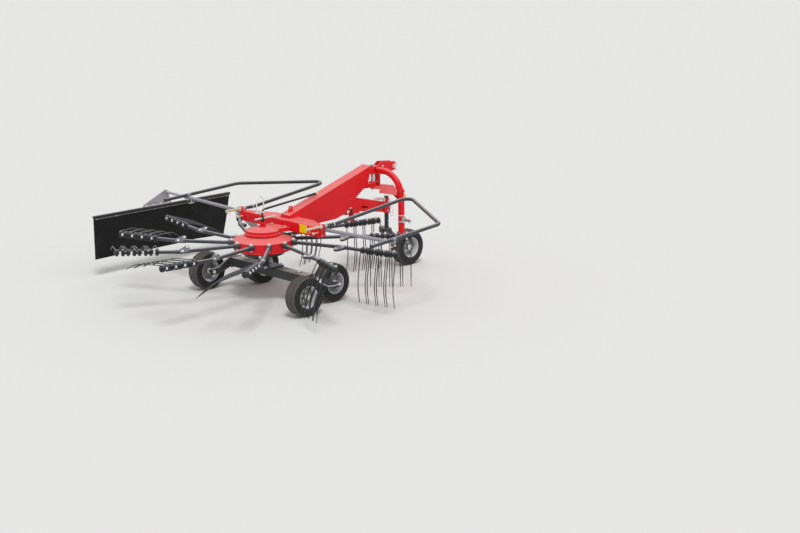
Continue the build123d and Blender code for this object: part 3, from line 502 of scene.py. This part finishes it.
# ---------------------------------------------------------------- wheels
# Tyre section as (half width, radius) from the bead over the shoulder to the middle, with its grooves
TYRE_SIDE = (
    (0.0640, 0.1125), (0.0720, 0.1160), (0.0790, 0.1270), (0.0806, 0.1420), (0.0808, 0.1440), (0.0800, 0.1470),
    (0.0806, 0.1600), (0.0802, 0.1730), (0.0770, 0.1830), (0.0735, 0.1895), (0.0700, 0.1925), (0.0640, 0.1972),
    (0.0565, 0.2005), (0.0500, 0.2014), (0.0490, 0.1950), (0.0430, 0.1950), (0.0420, 0.2021), (0.0245, 0.2034),
    (0.0235, 0.1960), (0.0175, 0.1960), (0.0165, 0.2038), (0.0, 0.2040),
)
TYRE_SECTION = [(-w, r) for w, r in TYRE_SIDE] + [(w, r) for w, r in reversed(TYRE_SIDE[:-1])]
TYRE_SECTION += [(0.0600, 0.1122), (0.0, 0.1122), (-0.0600, 0.1122)]
TYRE_STEPS, LUG_DEPTH = 72, 0.0012
TREAD_HALF, TREAD_R = 0.071, 0.19
# Closed sections of the pressed rim and of its web with the hub, as (place along the axle, radius)
RIM_SIDE = (
    (0.0, 0.0985), (0.040, 0.0985), (0.050, 0.1030), (0.0640, 0.1050), (0.0690, 0.1080), (0.0715, 0.1125),
    (0.0712, 0.1155), (0.0690, 0.1162), (0.0672, 0.1140), (0.0650, 0.1110), (0.0520, 0.1110), (0.040, 0.1060),
    (0.0, 0.1060),
)
RIM_SECTION = RIM_SIDE + tuple((-w, r) for w, r in reversed(RIM_SIDE[1:-1]))
WEB_SIDE = (
    (0.0045, 0.0988), (0.0045, 0.086), (0.0075, 0.078), (0.0135, 0.070), (0.0135, 0.036), (0.018, 0.0300),
    (0.0445, 0.0290), (0.0445, 0.0158),
)
WEB_SECTION = WEB_SIDE + tuple((-w, r) for w, r in reversed(WEB_SIDE))
HUB_RING = ((0, 0.0165), (0, 0.0305), (0.003, 0.031), (0.006, 0.0295), (0.006, 0.0165))
HUB_CAP = ((0, 0.0205), (0.008, 0.020), (0.013, 0.016), (0.0145, 0.009), (0.0145, 0))
WHEEL_NUTS, NUT_CIRCLE_R, VALVE_ANGLE = 5, 0.050, 1.1


def wheel(name, centre, cap_side):
    """A wheel: tyre with its valve, rim, dished web, and a hub with its nuts and cap."""
    body = "wheel_" + name
    rubber, barrel, web, hub = (Shape() for _ in range(4))
    points = []
    for step in range(TYRE_STEPS):
        outward = around(X, Z, 2 * math.pi * step / TYRE_STEPS)
        for w, r in TYRE_SECTION:
            lug = LUG_DEPTH if 0.185 < r < 0.199 and step % 3 == 0 and abs(w) > 0.06 else 0.0
            points.append(centre + Y * w + outward * (r - lug))
    rubber.add(points, skin(TYRE_STEPS, len(TYRE_SECTION), closed=True))
    barrel.ring(centre, Y, RIM_SECTION, 64)
    web.ring(centre, Y, WEB_SECTION, 56)
    out = Y * cap_side
    for way in (-1, 1):
        hub.lathe(centre + Y * way * 0.0442, Y * way, HUB_RING, 32)
    hub.lathe(centre + out * 0.050, out, HUB_CAP, 28)
    for number in range(WHEEL_NUTS):
        spoke = around(X, Z, 2 * math.pi * number / WHEEL_NUTS + 0.3)
        hub.bolt(centre + spoke * NUT_CIRCLE_R + out * 0.0135, out, 0.0075, 0.007)
    valve = around(X, Z, VALVE_ANGLE)
    rubber.tube((centre + valve * 0.094 + out * 0.020, centre + valve * 0.090 + out * 0.042), 0.0038, 10)
    tyre = rubber.make("tread_" + name, body, "tyre", sharp=28.0)
    # The running surface is dustier than the sides
    tyre.data.materials.append(TREAD)
    for face in tyre.data.polygons:
        spots = [tyre.data.vertices[i].co - AXIS - centre for i in face.vertices]
        if all(abs(p.y) < TREAD_HALF and p.length > TREAD_R for p in spots):
            face.material_index = 1
    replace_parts(tyre, "tyre_" + name)
    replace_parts(barrel.make("barrel_" + name, body, "rim_paint"), "rim_" + name)
    # The web's dark grey is painted shade in the rim's recess, with dust and rust on it
    web.make("web_" + name, body, "rim_paint", SHADE_AND_DUST)
    hub.make("hub_" + name, body, "zinc", BRIGHT)


for wheel_name, wheel_centre, wheel_cap in WHEELS:
    wheel(wheel_name, wheel_centre, wheel_cap)

# ---------------------------------------------------------------- axle and rockers
ROCKER_PIVOT = Vector((0.14, 0, 0.29))
ROCKER_INNER, ROCKER_OUTER = 0.6615, 0.6945
PIVOT_NUT = ((0, 0.0255), (0, 0.040), (0.004, 0.040), (0.004, 0.030), (0.0085, 0.0295), (0.012, 0.024), (0.012, 0))
STUB_BOSS = ((0, 0.0153), (0, 0.032), (0.010, 0.028), (0.022, 0.025), (0.022, 0.0153))
# Bent rod along the rocker's front arm, on its outer side
ROD_Y, ROD_LINE = 0.7015, ((0.170, 0.268), (0.270, 0.206), (0.385, 0.203), (0.440, 0.226))
for name, way in SIDES:
    irons, bright, rod = (Shape() for _ in range(3))
    out = Y * way
    pivot = ROCKER_PIVOT + out * 0.694
    bright.lathe(pivot, out, PIVOT_NUT, 6)
    irons.collar(pivot, out, 0.0262, 0.052, 0.003, 28)
    irons.bead(arc(ROCKER_PIVOT + out * 0.6625, X, Z, 0.043, 0, 360, 24), 0.003)
    # The rear stub axle points outward and the front one inward, each with its boss and a bolt behind it
    for x, boss_at, bolt_at, flip in (
        (REAR_WHEEL_X, ROCKER_OUTER, ROCKER_INNER, 1), (FRONT_WHEEL_X, ROCKER_INNER, ROCKER_OUTER, -1),
    ):
        stub = Vector((x, 0, WHEEL_Z))
        irons.lathe(stub + out * boss_at, out * flip, STUB_BOSS, 24)
        bright.bolt(stub + out * bolt_at, out * -flip, 0.014, 0.010)
    rod.tube(rounded([Vector((x, 0, z)) + out * ROD_Y for x, z in ROD_LINE], 0.05), 0.0075, 12)
    rod.make("rocker_rod_" + name, "rocker_" + name, "grey_paint", PLATED)
    irons.make("rocker_fittings_" + name, "rocker_" + name, "grey_paint")
    bright.make("rocker_bolts_" + name, "rocker_" + name, "zinc", BRIGHT)

AXLE_X, FOOT_TOP = 0.115, 0.3563
FOOT_SEAM = ((0, 0.060), (0, 0.082), (0.004, 0.082), (0.018, 0.0625), (0.018, 0.060))
axle, axle_bright = Shape(), Shape()
for x in (-0.045, 0.165):
    for y in (-0.085, 0.085):
        axle_bright.bolt((x, y, FOOT_TOP), Z, 0.014, 0.011)
for way in (-1, 1):
    axle.plate(box(0.075, 0.058), (AXLE_X, way * 0.6035, 0.29), X, Z, 0.0065)
    axle.bead(((0.05, way * 0.5995, 0.3405), (0.18, way * 0.5995, 0.3405)), 0.0035)
    for x in (0.065, 0.165):
        axle_bright.bolt((x, way * 0.6068, 0.325), Y * way, 0.009, 0.007)
for y in (-0.42, 0.42):
    axle.plate(box(0.03, 0.03), (AXLE_X, y, 0.3425), X, Y, 0.005)
    axle_bright.bolt((AXLE_X, y, 0.3450), Z, 0.010, 0.008)
axle.lathe((0, 0, FOOT_TOP), Z, FOOT_SEAM, 40)
axle.make("axle_fittings", "frame", "grey_paint")
axle_bright.make("axle_bolts", "frame", "zinc", BRIGHT)

# ---------------------------------------------------------------- drum and cap
DRUM_SEAM_R = 0.3068
drum = Shape()
for z in (0.6475, 0.549):
    drum.bead(arc((0, 0, z), X, Y, DRUM_SEAM_R, 0, 360, 96), 0.0022)
drum.make("drum_seams", "rotor", "red_paint")

GREASE_NIPPLE = ((0, 0.006), (0.006, 0.006), (0.007, 0.0035), (0.012, 0.0035), (0.015, 0.0025))
cap, cap_bright = Shape(), Shape()
cap.bead(arc((0, 0, 0.7175), X, Y, 0.1765, 26, 334, 72), 0.0025)
for side in (-1, 1):
    cap_bright.bolt((0.215, side * 0.10, 0.7582), Z, 0.008, 0.006)
cap_bright.lathe((-0.10, -0.06, 0.7665), Vector((-0.2, -0.1, 1)), GREASE_NIPPLE, 10)

# Height control: post with gussets, spindle, lever, and the hoop over the crank
POST_LOW, POST_HIGH, POST_HALF = 0.7783, 0.828, 0.022
LEVER_REAR, LEVER_FRONT = Vector((-0.085, 0, 0.866)), Vector((0.171, 0, 0.866))
LEVER_KNOB = ((0, 0.009), (0.001, 0.0105), (0.010, 0.0105), (0.013, 0.008), (0.0135, 0.0))
SPINDLE = ((0, 0.018), (0.004, 0.020), (0.028, 0.020), (0.030, 0.016), (0.050, 0.016), (0.0515, 0.0135))
SPINDLE_NUT = ((0, 0.009), (0, 0.0125), (0.012, 0.0125), (0.013, 0.009))
HOOP_REAR, HOOP_FRONT, HOOP_LOW, HOOP_SPRING, HOOP_RISE = -0.072, 0.020, 0.930, 1.045, 0.052
levers, black = Shape(), Shape()
post_middle = (0, 0, (POST_LOW + POST_HIGH) / 2)
cap.plate(box(POST_HALF, POST_HALF), post_middle, X, Y, POST_HIGH - POST_LOW, 0.003)
for way in (X, -X, Y, -Y):
    cap.plate(((0.0, 0.0), (0.032, 0.0), (0.0, 0.042)), way * 0.0221 + Z * POST_LOW, way, Z, 0.006)
levers.tube((LEVER_REAR, LEVER_FRONT), 0.009, 18)
levers.lathe(LEVER_REAR, -X, LEVER_KNOB, 18)
levers.bolt(LEVER_FRONT, X, 0.009, 0.006)
black.lathe((0, 0, POST_HIGH), Z, SPINDLE, 24)
black.lathe((0, 0, 0.8797), Z, SPINDLE_NUT, 20)
crank_plate = ((-0.085, -0.014), (0.028, -0.014), (0.028, 0.014), (-0.085, 0.014))
levers.plate(crank_plate, (0, 0, 0.932), X, Y, 0.007, 0.002)
levers.collar((0, 0, 0.9265), Z, 0.009, 0.016, 0.014, 20)
hoop_middle, hoop_half = (HOOP_REAR + HOOP_FRONT) / 2, (HOOP_FRONT - HOOP_REAR) / 2
hoop = [Vector((HOOP_REAR, 0, HOOP_LOW))]
for step in range(13):
    a = step * math.pi / 12
    hoop.append(Vector((hoop_middle - hoop_half * math.cos(a), 0, HOOP_SPRING + HOOP_RISE * math.sin(a))))
hoop.append(Vector((HOOP_FRONT, 0, HOOP_LOW)))
levers.tube(hoop, 0.0065, 10)
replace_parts(levers.make("height_lever", "frame", "zinc", BRIGHT), "height_crank")
black.make("height_spindle", "frame", "grey_paint", BLACK_PAINT)

# Black sleeve along the crank's rod, thicker at its grip, and the bright end
GRIP = ((0, 0.0092), (0.004, 0.0112), (0.60, 0.0112), (0.603, 0.0135), (0.70, 0.0140), (0.708, 0.0105))
GRIP_LENGTH = 0.72
ROD_TIP = ((0, 0.0092), (0, 0.013), (0.018, 0.013), (0.020, 0.009), (0.020, 0))
rod_end = Vector((0.755, 0, 1.019))
rod_way = (rod_end - Vector((0, 0, 0.956))).normalized()
grip, tip = Shape(), Shape()
grip.lathe(rod_end - rod_way * GRIP_LENGTH, rod_way, GRIP, 20)
grip.make("crank_grip", "frame", "grey_paint", BLACK_PAINT)
tip.lathe(rod_end - rod_way * 0.008, rod_way, ROD_TIP, 18)
tip.make("crank_end", "frame", "zinc", BRIGHT)
cap.make("cap_fittings", "frame", "red_paint")
cap_bright.make("cap_bolts", "frame", "zinc", BRIGHT)

# ---------------------------------------------------------------- crossbeam and guard hinges
PLATE_Y, PLATE_Z = -0.366, 0.771
RIVET = ((0, 0.004), (0.001, 0.0038), (0.002, 0.002), (0.002, 0))
HINGE_PIN_END = ((0, 0.0125), (0.001, 0.0135), (0.004, 0.0135), (0.006, 0.011), (0.006, 0))
LOCK_PIN_HEAD = ((0, 0.0085), (0, 0.0125), (0.010, 0.0125), (0.012, 0.009), (0.012, 0))
END_GUSSET = ((0.0, 0.0), (0.0, 0.092), (0.030, 0.092), (0.046, 0.0))
CLIP_X = 0.075
cross, hinge_bright, hinge_zinc, sign = (Shape() for _ in range(4))
sign.plate(box(0.058, 0.043), (0.2388, PLATE_Y, PLATE_Z), -Y, Z, 0.0018, 0.0006)
sign.make("blank_plate", "frame", material=YELLOW)
for y in (PLATE_Y - 0.052, PLATE_Y + 0.052):
    for z in (PLATE_Z - 0.035, PLATE_Z + 0.035):
        hinge_bright.lathe((0.2379, y, z), -X, RIVET, 12)
for side in (-1, 1):
    y = side * HINGE_Y
    cross.plate(END_GUSSET, (0.266, side * 0.6205, 0.722), X, Z, 0.006)
    hinge_bright.lathe((0.0449, y, HINGE_Z), -X, HINGE_PIN_END, 24)
    hinge_bright.collar((0.2295, y, HINGE_Z), -X, 0.0128, 0.024, 0.003, 24)
    hinge_bright.bolt((0.256, side * 0.628, 0.742), X, 0.010, 0.008)
    # Clip through the hinge pin, with its ring under it
    hinge_zinc.tube(rounded(((CLIP_X, y, 0.862), (CLIP_X, y, 0.812)), 0.01), 0.0028, 8)
    hinge_zinc.tube(arc((CLIP_X, y, 0.803), X, Z, 0.011, 90, 440, 20), 0.0018, 8)
    # Lock pin through the ear, under the hinge
    lock_rear, lock_front = (Vector((x, side * 0.605, 0.768)) for x in (0.165, 0.272))
    hinge_zinc.tube((lock_rear, lock_front), 0.0085, 16)
    hinge_bright.lathe(lock_rear, -X, LOCK_PIN_HEAD, 20)
for y in (-BEAM_SIDE, BEAM_SIDE):
    cross.bead(((0.3, y, 0.8225), (0.449, y, 0.8225)), 0.0035)
cross.make("crossbeam_fittings", "frame", "red_paint")
hinge_bright.make("hinge_bolts", "frame", "zinc", BRIGHT)
hinge_zinc.make("hinge_clips", "frame", "zinc")

# ---------------------------------------------------------------- main beam
ROOT_PLATE = ((-0.14, -0.05), (0.10, -0.075), (0.13, -0.02), (0.02, 0.06), (-0.10, 0.05))
PRONG_PLATE = ((-0.045, -0.045), (0.04, -0.052), (0.04, 0.05), (-0.045, 0.055))
ROOT_BOLTS = ((1.146, 0.766, 0.013), (1.178, 0.805, 0.010), (1.246, 0.722, 0.010), (1.284, 0.722, 0.010))
beam, beam_bright, beam_white, beam_black = (Shape() for _ in range(4))
for side in (-1, 1):
    y = side * BEAM_SIDE
    beam.bead(((0.451, y, 0.712), (0.451, y, 0.818)), 0.003)
    beam.bead(((1.206, y, 0.776), (1.324, y, 0.747)), 0.003)
    # Doubling plates at the fork's root and round the prong's end
    beam.plate(ROOT_PLATE, (1.235, side * 0.072, 0.852), X, Z, 0.004)
    beam.plate(PRONG_PLATE, (1.735, side * 0.072, 0.722), X, Z, 0.004)
    for x, z, r in ROOT_BOLTS:
        beam_bright.bolt((x, y, z), Y * side, r, 0.009)
    beam_black.plate(box(0.012, 0.045), (1.196, side * 0.0745, 0.745), X, Z, 0.008)
    for x, z in ((1.716, 0.755), (1.752, 0.690)):
        beam_bright.bolt((x, side * 0.0742, z), Y * side, 0.008, 0.006)

PRONG_X, PRONG_Z, PRONG_FALL = 1.265, 0.904, 0.2481


def prong_top(x):
    """Height of the lower prong's upper face."""
    return PRONG_Z - PRONG_FALL * (x - PRONG_X)


# Steering damper over the prong, with a foot at each end
DAMPER = ((0, 0.008), (0.004, 0.0125), (0.080, 0.0145), (0.090, 0.0135), (0.094, 0.008))
damper_start, damper_end = Vector((1.606, -0.035, 0.840)), Vector((1.728, -0.035, 0.822))
damper_way = (damper_end - damper_start).normalized()
beam_white.lathe(damper_start, damper_way, DAMPER, 24)
beam_bright.tube((damper_start - damper_way * 0.022, damper_start + damper_way * 0.004), 0.007, 12)
beam_bright.tube((damper_start + damper_way * 0.090, damper_end), 0.006, 12)
for eye in (damper_start - damper_way * 0.018, damper_end):
    low = prong_top(eye.x) - 0.004 - eye.z
    beam_bright.plate(((-0.009, low), (0.009, low), (0.009, 0.010), (-0.009, 0.010)), eye, X, Z, 0.020, 0.002)
# Bracket on the jockey leg's sleeve, and the wire clip that hangs from it
BRACKET_X, SLEEVE_SIDE = 1.805, -0.036
WIRE_CLIP = (
    (0.002, -0.010, 0.752), (0.004, -0.022, 0.738), (-0.012, -0.026, 0.680), (0.006, -0.026, 0.612),
    (0.034, -0.026, 0.628), (0.030, -0.024, 0.700), (0.014, -0.010, 0.748),
)
beam_bright.plate(box(0.020, 0.036), (BRACKET_X, SLEEVE_SIDE - 0.004, 0.764), X, Z, 0.008, 0.002)
beam_bright.bolt((BRACKET_X, SLEEVE_SIDE - 0.008, 0.782), -Y, 0.009, 0.007)
clip = [Vector((BRACKET_X + x, SLEEVE_SIDE + y, z)) for x, y, z in WIRE_CLIP]
beam_bright.tube(rounded(clip, 0.014), 0.003, 8)

# Collar and spline of the input shaft
SHAFT_Z, SPLINE_TEETH, SPLINE_R = 0.682, 12, 0.0168
SHAFT_COLLAR = ((0, 0.0178), (0, 0.0245), (0.010, 0.0245), (0.012, 0.0215), (0.012, 0.0178))
shaft = Shape()
shaft.lathe((0.6403, 0, SHAFT_Z), X, SHAFT_COLLAR, 30)
for step in range(SPLINE_TEETH):
    spoke = around(Y, Z, 2 * math.pi * step / SPLINE_TEETH) * SPLINE_R
    shaft.tube([Vector((x, 0, SHAFT_Z)) + spoke for x in (0.654, 0.716)], 0.0017, 6)
shaft.make("input_spline", "frame", "steel")
beam.bead(((0.312, -0.0695, 0.822), (0.312, 0.0695, 0.822)), 0.003)
beam.bead(arc((0.389, 0.0085, 0.868), X, Z, 0.027, -30, 210, 18), 0.0025)
beam.make("beam_fittings", "frame", "red_paint")
beam_bright.make("beam_bolts", "frame", "zinc", BRIGHT)
beam_white.make("steering_damper", "frame", "zinc", WHITE)
beam_black.make("beam_pads", "frame", "grey_paint", BLACK_PAINT)

# ---------------------------------------------------------------- headstock
HEAD_X, HEAD_HALF, LINK_Z = 1.636, 0.400, 0.655
LEG_GUSSET = ((-0.036, -0.105), (-0.036, 0.0), (-0.20, 0.0), (-0.16, -0.03))
LEANING_PLATE = ((0.0, -0.048), (0.235, -0.048), (0.235, 0.020), (0.165, 0.060), (0.0, 0.052))
LEAN = Vector((0.36, 0, 1))
LEG_PLUG = ((0, 0.0345), (0.004, 0.0345), (0.007, 0.029), (0.007, 0))
LINK_PIN_END = ((0, 0.0135), (0.0015, 0.012), (0.0015, 0))
REFLECTOR = ((0, 0.027), (0.006, 0.027), (0.009, 0.023), (0.010, 0))
TOP_PIN_HEAD = ((0, 0.012), (0.001, 0.0165), (0.008, 0.0165), (0.010, 0.013), (0.010, 0))
TOP_PIN_HANDLE = ((1.886, -0.062, 1.175), (1.886, -0.070, 1.150), (1.906, -0.068, 1.120), (1.925, -0.062, 1.135))
TOP_PIN_X, TOP_PIN_Z = 1.886, 1.175
head, head_bright, head_steel, leaning, lens = (Shape() for _ in range(5))
for side in (-1, 1):
    leg = Vector((HEAD_X, side * HEAD_HALF, 0))
    # Gusset under the lug plate beside each leg, welded round the leg
    head.plate(LEG_GUSSET, leg + Z * 0.9645, Y * side, Z, 0.010)
    # Leaning plate along the lug plate's rear edge, from the pivot's side to the leg
    inner, outer = Vector((1.566, side * 0.140, 0.972)), Vector((1.606, side * 0.372, 0.972))
    along = (outer - inner).normalized()
    leaning.plate(LEANING_PLATE, inner, along, LEAN - along * LEAN.dot(along), 0.008)
    for z in (0.9785, 0.9635):
        head.bead(arc(leg + Z * z, X, Y, 0.0355, 0, 360, 28), 0.0035)
    for z in (0.698, 0.628):
        head_bright.collar(leg + Z * z, Z, 0.0352, 0.0385, 0.010, 36)
    head_bright.lathe(leg + Z * 0.4695, -Z, LEG_PLUG, 30)
    # Linch pin on each lower link pin
    linch = Vector((HEAD_X, side * 0.518, LINK_Z))
    head_bright.tube((linch + Z * 0.034, linch - Z * 0.026), 0.0045, 12)
    head_bright.tube(arc(linch + Z * 0.004, Y * side, Z, 0.0305, 80, -80, 16), 0.0024, 8)
    head_bright.lathe(Vector((HEAD_X, side * 0.5312, LINK_Z)), Y * side, LINK_PIN_END, 24)
lens.lathe((HEAD_X + 0.012, -HEAD_HALF - 0.0335, 0.912), Vector((0.35, -1, 0)), REFLECTOR, 30)
lens.make("reflector", "headstock", material=ORANGE)
head_steel.tube(((TOP_PIN_X, -0.062, TOP_PIN_Z), (TOP_PIN_X, 0.058, TOP_PIN_Z)), 0.0122, 24)
head_bright.collar((TOP_PIN_X, -0.0430, TOP_PIN_Z), -Y, 0.0125, 0.026, 0.003, 26)
head_bright.lathe((TOP_PIN_X, -0.0575, TOP_PIN_Z), -Y, TOP_PIN_HEAD, 24)
head_bright.tube(rounded(TOP_PIN_HANDLE, 0.012), 0.004, 10)
for side in (-1, 1):
    for x, z in ((1.676, 1.128), (1.706, 1.196)):
        head_bright.bolt((x, side * 0.0425, z), Y * side, 0.009, 0.007)
head.bead(((HEAD_X - 0.006, -0.043, 1.2005), (HEAD_X + 0.058, -0.043, 1.2445)), 0.0025)
head.make("headstock_fittings", "headstock", "red_paint")
# The leaning plates take a pale red that paints the sky reflected on them
leaning.make("headstock_leaning_plates", "headstock", "red_paint", SKY_REFLECTION_RED)
head_bright.make("headstock_bolts", "headstock", "zinc", BRIGHT)
head_steel.make("top_link_pin", "headstock", "steel")

# ---------------------------------------------------------------- jockey wheel's leg
LEG_X = 1.80
LEG_CAP = ((0, 0.024), (0.001, 0.0262), (0.008, 0.0262), (0.011, 0.022), (0.011, 0))
ARM_BOSS = ((0, 0.0153), (0, 0.030), (0.052, 0.026), (0.052, 0.0153))
jockey, jockey_bright = Shape(), Shape()
jockey.lathe((LEG_X, 0, 0.832), Z, LEG_CAP, 28)
# Height pin through the sleeve, and two shorter pins through the leg below it
for z, half in ((0.800, 0.052), (0.560, 0.030), (0.520, 0.030)):
    jockey_bright.tube(((LEG_X, -half, z), (LEG_X, half, z)), 0.0055, 12)
jockey_bright.bolt((JOCKEY_WHEEL_X, 0.1265, WHEEL_Z), Y, 0.016, 0.012)
jockey.lathe((JOCKEY_WHEEL_X, 0.1035, WHEEL_Z), -Y, ARM_BOSS, 26)
jockey.bead(((1.762, 0.0405, 0.471), (LEG_X, 0.125, 0.471)), 0.003)
jockey.make("jockey_fittings", "frame", "grey_paint")
jockey_bright.make("jockey_bolts", "frame", "zinc", BRIGHT)

# ---------------------------------------------------------------- guards
TUBE_END = ((0, 0.0165), (0, 0.0196), (0.004, 0.0196), (0.006, 0.016), (0.006, 0))
tee_line = heading(90, TEE_RISE)
for name, way in SIDES:
    ends, bright = Shape(), Shape()
    tee = Vector((tee_line.x, tee_line.y * way, tee_line.z))
    foot = Vector((TEE_X, way * TEE_FOOT_Y, TEE_FOOT_Z))
    length = (TEE_END_Y - TEE_FOOT_Y) / tee_line.y
    ends.lathe((-0.0272, way * 1.6535, 0.8330), Vector((-1, 0.047 * way, -0.056)), TUBE_END, 24)
    ends.collar(foot + tee * (length - 0.003), tee, 0.0158, 0.0212, 0.014, 28)
    bright.bolt(foot + tee * (length - 0.035) - Z * 0.0185, -Z, 0.010, 0.012)
    # Clamp screw with its crossbar under the tube
    screw = foot + tee * (length - 0.10)
    crossbar = screw - Z * 0.054
    bright.tube((screw - Z * 0.018, screw - Z * 0.058), 0.006, 12)
    bright.tube((crossbar - X * 0.035, crossbar + X * 0.035), 0.0045, 10)
    for x in (0.275, 0.395):
        bright.collar((x, way * HINGE_Y, HINGE_Z), X, 0.0193, 0.0222, 0.010, 28)
    ends.bead(arc(Vector((TEE_X, way * HINGE_Y, 0.815)), X, Y, 0.0185, 0, 360, 20), 0.003)
    ends.make("guard_ends_" + name, "guard_" + name, "galvanised", BLACK_PAINT)
    bright.make("guard_bolts_" + name, "guard_" + name, "zinc", BRIGHT)

# ---------------------------------------------------------------- curtain
CURTAIN_Y = 2.050
CURTAIN_REAR, CURTAIN_FRONT, CURTAIN_HIGH, CURTAIN_LOW = -0.710, 1.195, 0.672, 0.205
# How far the front edge slants back towards the hem
CURTAIN_SLANT = 0.095
CURTAIN_COLUMNS, CURTAIN_ROWS = 180, 44


def curtain_point(u, v):
    """A point of the hanging sheet: u runs from rear to front, v from the rail down."""
    z = CURTAIN_HIGH - v * (CURTAIN_HIGH - CURTAIN_LOW)
    x = CURTAIN_REAR + u * (CURTAIN_FRONT - CURTAIN_REAR - CURTAIN_SLANT * v)
    free = v ** 1.5
    wave = 0.011 * math.sin(u * 9.2 + 0.6) + 0.006 * math.sin(u * 23.0 + v * 2.0 + 1.1)
    crease = 0.004 * noise.noise(Vector((u * 16, v * 5, 3.1)))
    curl = 0.014 * max(0.0, u - 0.93) / 0.07 * v
    y = CURTAIN_Y + free * (wave + curl) + crease * min(1, v * 3)
    return Vector((x, y, z + 0.003 * free * math.sin(u * 11)))


cloth = Shape()
grid_row = CURTAIN_COLUMNS + 1
grid = [curtain_point(i / CURTAIN_COLUMNS, j / CURTAIN_ROWS) for j in range(CURTAIN_ROWS + 1) for i in range(grid_row)]
corners = [j * grid_row + i for j in range(CURTAIN_ROWS) for i in range(CURTAIN_COLUMNS)]
cloth.add(grid, [(corner, corner + 1, corner + grid_row + 1, corner + grid_row) for corner in corners])
curtain = cloth.make("curtain_sheet", "curtain", "black_sheet")
shell = curtain.modifiers.new("thickness", "SOLIDIFY")
shell.thickness = 0.004
shell.offset = 0.0
with bpy.context.temp_override(object=curtain, active_object=curtain, selected_objects=[curtain]):
    bpy.ops.object.modifier_apply(modifier="thickness")
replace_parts(curtain, "curtain")

# Hem along the lower edge, and the strip with its bolts that holds the sheet under the rail
HEM_AT, HEM_STEPS = 0.985, 120
STRIP_X, STRIP_Z, STRIP_HALF, STRIP_BOLTS = 0.2425, 0.660, 0.94, 8
hem, strip_bolts, strip = (Shape() for _ in range(3))
for face in (-1, 1):
    hem_line = [curtain_point(i / HEM_STEPS, HEM_AT) + Y * face * 0.003 for i in range(HEM_STEPS + 1)]
    hem.tube(hem_line, 0.0026, 6)
    strip.plate(box(STRIP_HALF, 0.006), (STRIP_X, CURTAIN_Y + face * 0.0042, STRIP_Z), X, Z, 0.003, 0.001)
    for number in range(STRIP_BOLTS):
        x = CURTAIN_REAR + 0.04 + number * (CURTAIN_FRONT - CURTAIN_REAR - 0.08) / (STRIP_BOLTS - 1)
        strip_bolts.bolt((x, CURTAIN_Y + face * 0.0057, STRIP_Z), Y * face, 0.0045, 0.003)
hem.make("curtain_hem", "curtain", "black_sheet")
strip.make("curtain_strip", "curtain", "galvanised", SHADE_AND_DUST)
strip_bolts.make("curtain_bolts", "curtain", "zinc", BRIGHT)

arm_bright, arm_plain = Shape(), Shape()
for x in (0.00, 0.10, 0.20, 0.31):
    arm_bright.bolt((x, CURTAIN_Y, 0.7049), Z, 0.009, 0.007)
arm_plain.lathe((TEE_X, 2.0795, 0.826), Y, ((0, 0.0155), (0, 0.024), (0.004, 0.024), (0.004, 0)), 24)
arm_plain.make("curtain_arm_end", "curtain", "galvanised")
arm_bright.make("curtain_arm_bolts", "curtain", "zinc", BRIGHT)

# ---------------------------------------------------------------- floor, light and camera
bpy.ops.mesh.primitive_plane_add(size=400, location=(0, 0, 0))
floor = bpy.context.object
floor.name = "floor"
floor_finish = bpy.data.materials.new("floor")
floor_finish.use_nodes = True
floor_shader = floor_finish.node_tree.nodes["Principled BSDF"]
floor_shader.inputs["Base Color"].default_value = (0.80, 0.80, 0.79, 1)
floor_shader.inputs["Roughness"].default_value = 0.9
floor_shader.inputs["Specular IOR Level"].default_value = 0.1
floor.data.materials.append(floor_finish)

world = bpy.data.worlds.new("studio")
bpy.context.scene.world = world
world.use_nodes = True
world.node_tree.nodes["Background"].inputs["Color"].default_value = (1.0, 1.0, 1.0, 1)
world.node_tree.nodes["Background"].inputs["Strength"].default_value = 0.62

sun = bpy.data.lights.new("key", "SUN")
sun.energy = 1.35
sun.angle = math.radians(16)
key = bpy.data.objects.new("key", sun)
key.rotation_euler = (math.radians(24), math.radians(-18), 0)
bpy.context.scene.collection.objects.link(key)

# Camera solved from the photograph, with its focal length in the photograph's pixels
YAW, PITCH, ROLL = math.radians(45.12), math.radians(13.98), math.radians(-0.44)
FOCAL, PICTURE_WIDTH, SENSOR_WIDTH = 1500, 800, 36
ahead = Vector((math.cos(PITCH) * math.cos(YAW), math.cos(PITCH) * math.sin(YAW), -math.sin(PITCH)))
level = Vector((math.sin(YAW), -math.cos(YAW), 0))
upright = level.cross(ahead)
right, above = around(level, upright, ROLL), around(upright, -level, ROLL)
lens_data = bpy.data.cameras.new("camera")
lens_data.sensor_width = SENSOR_WIDTH
lens_data.lens = SENSOR_WIDTH * FOCAL / PICTURE_WIDTH
lens_data.clip_end = 500
camera = bpy.data.objects.new("camera", lens_data)
spot = Vector((-9.722, -11.778, 4.125)) + AXIS
camera.matrix_world = Matrix.Translation(spot) @ Matrix((right, above, -ahead)).transposed().to_4x4()
bpy.context.scene.collection.objects.link(camera)
bpy.context.scene.camera = camera
bpy.context.scene.view_settings.view_transform = "Standard"
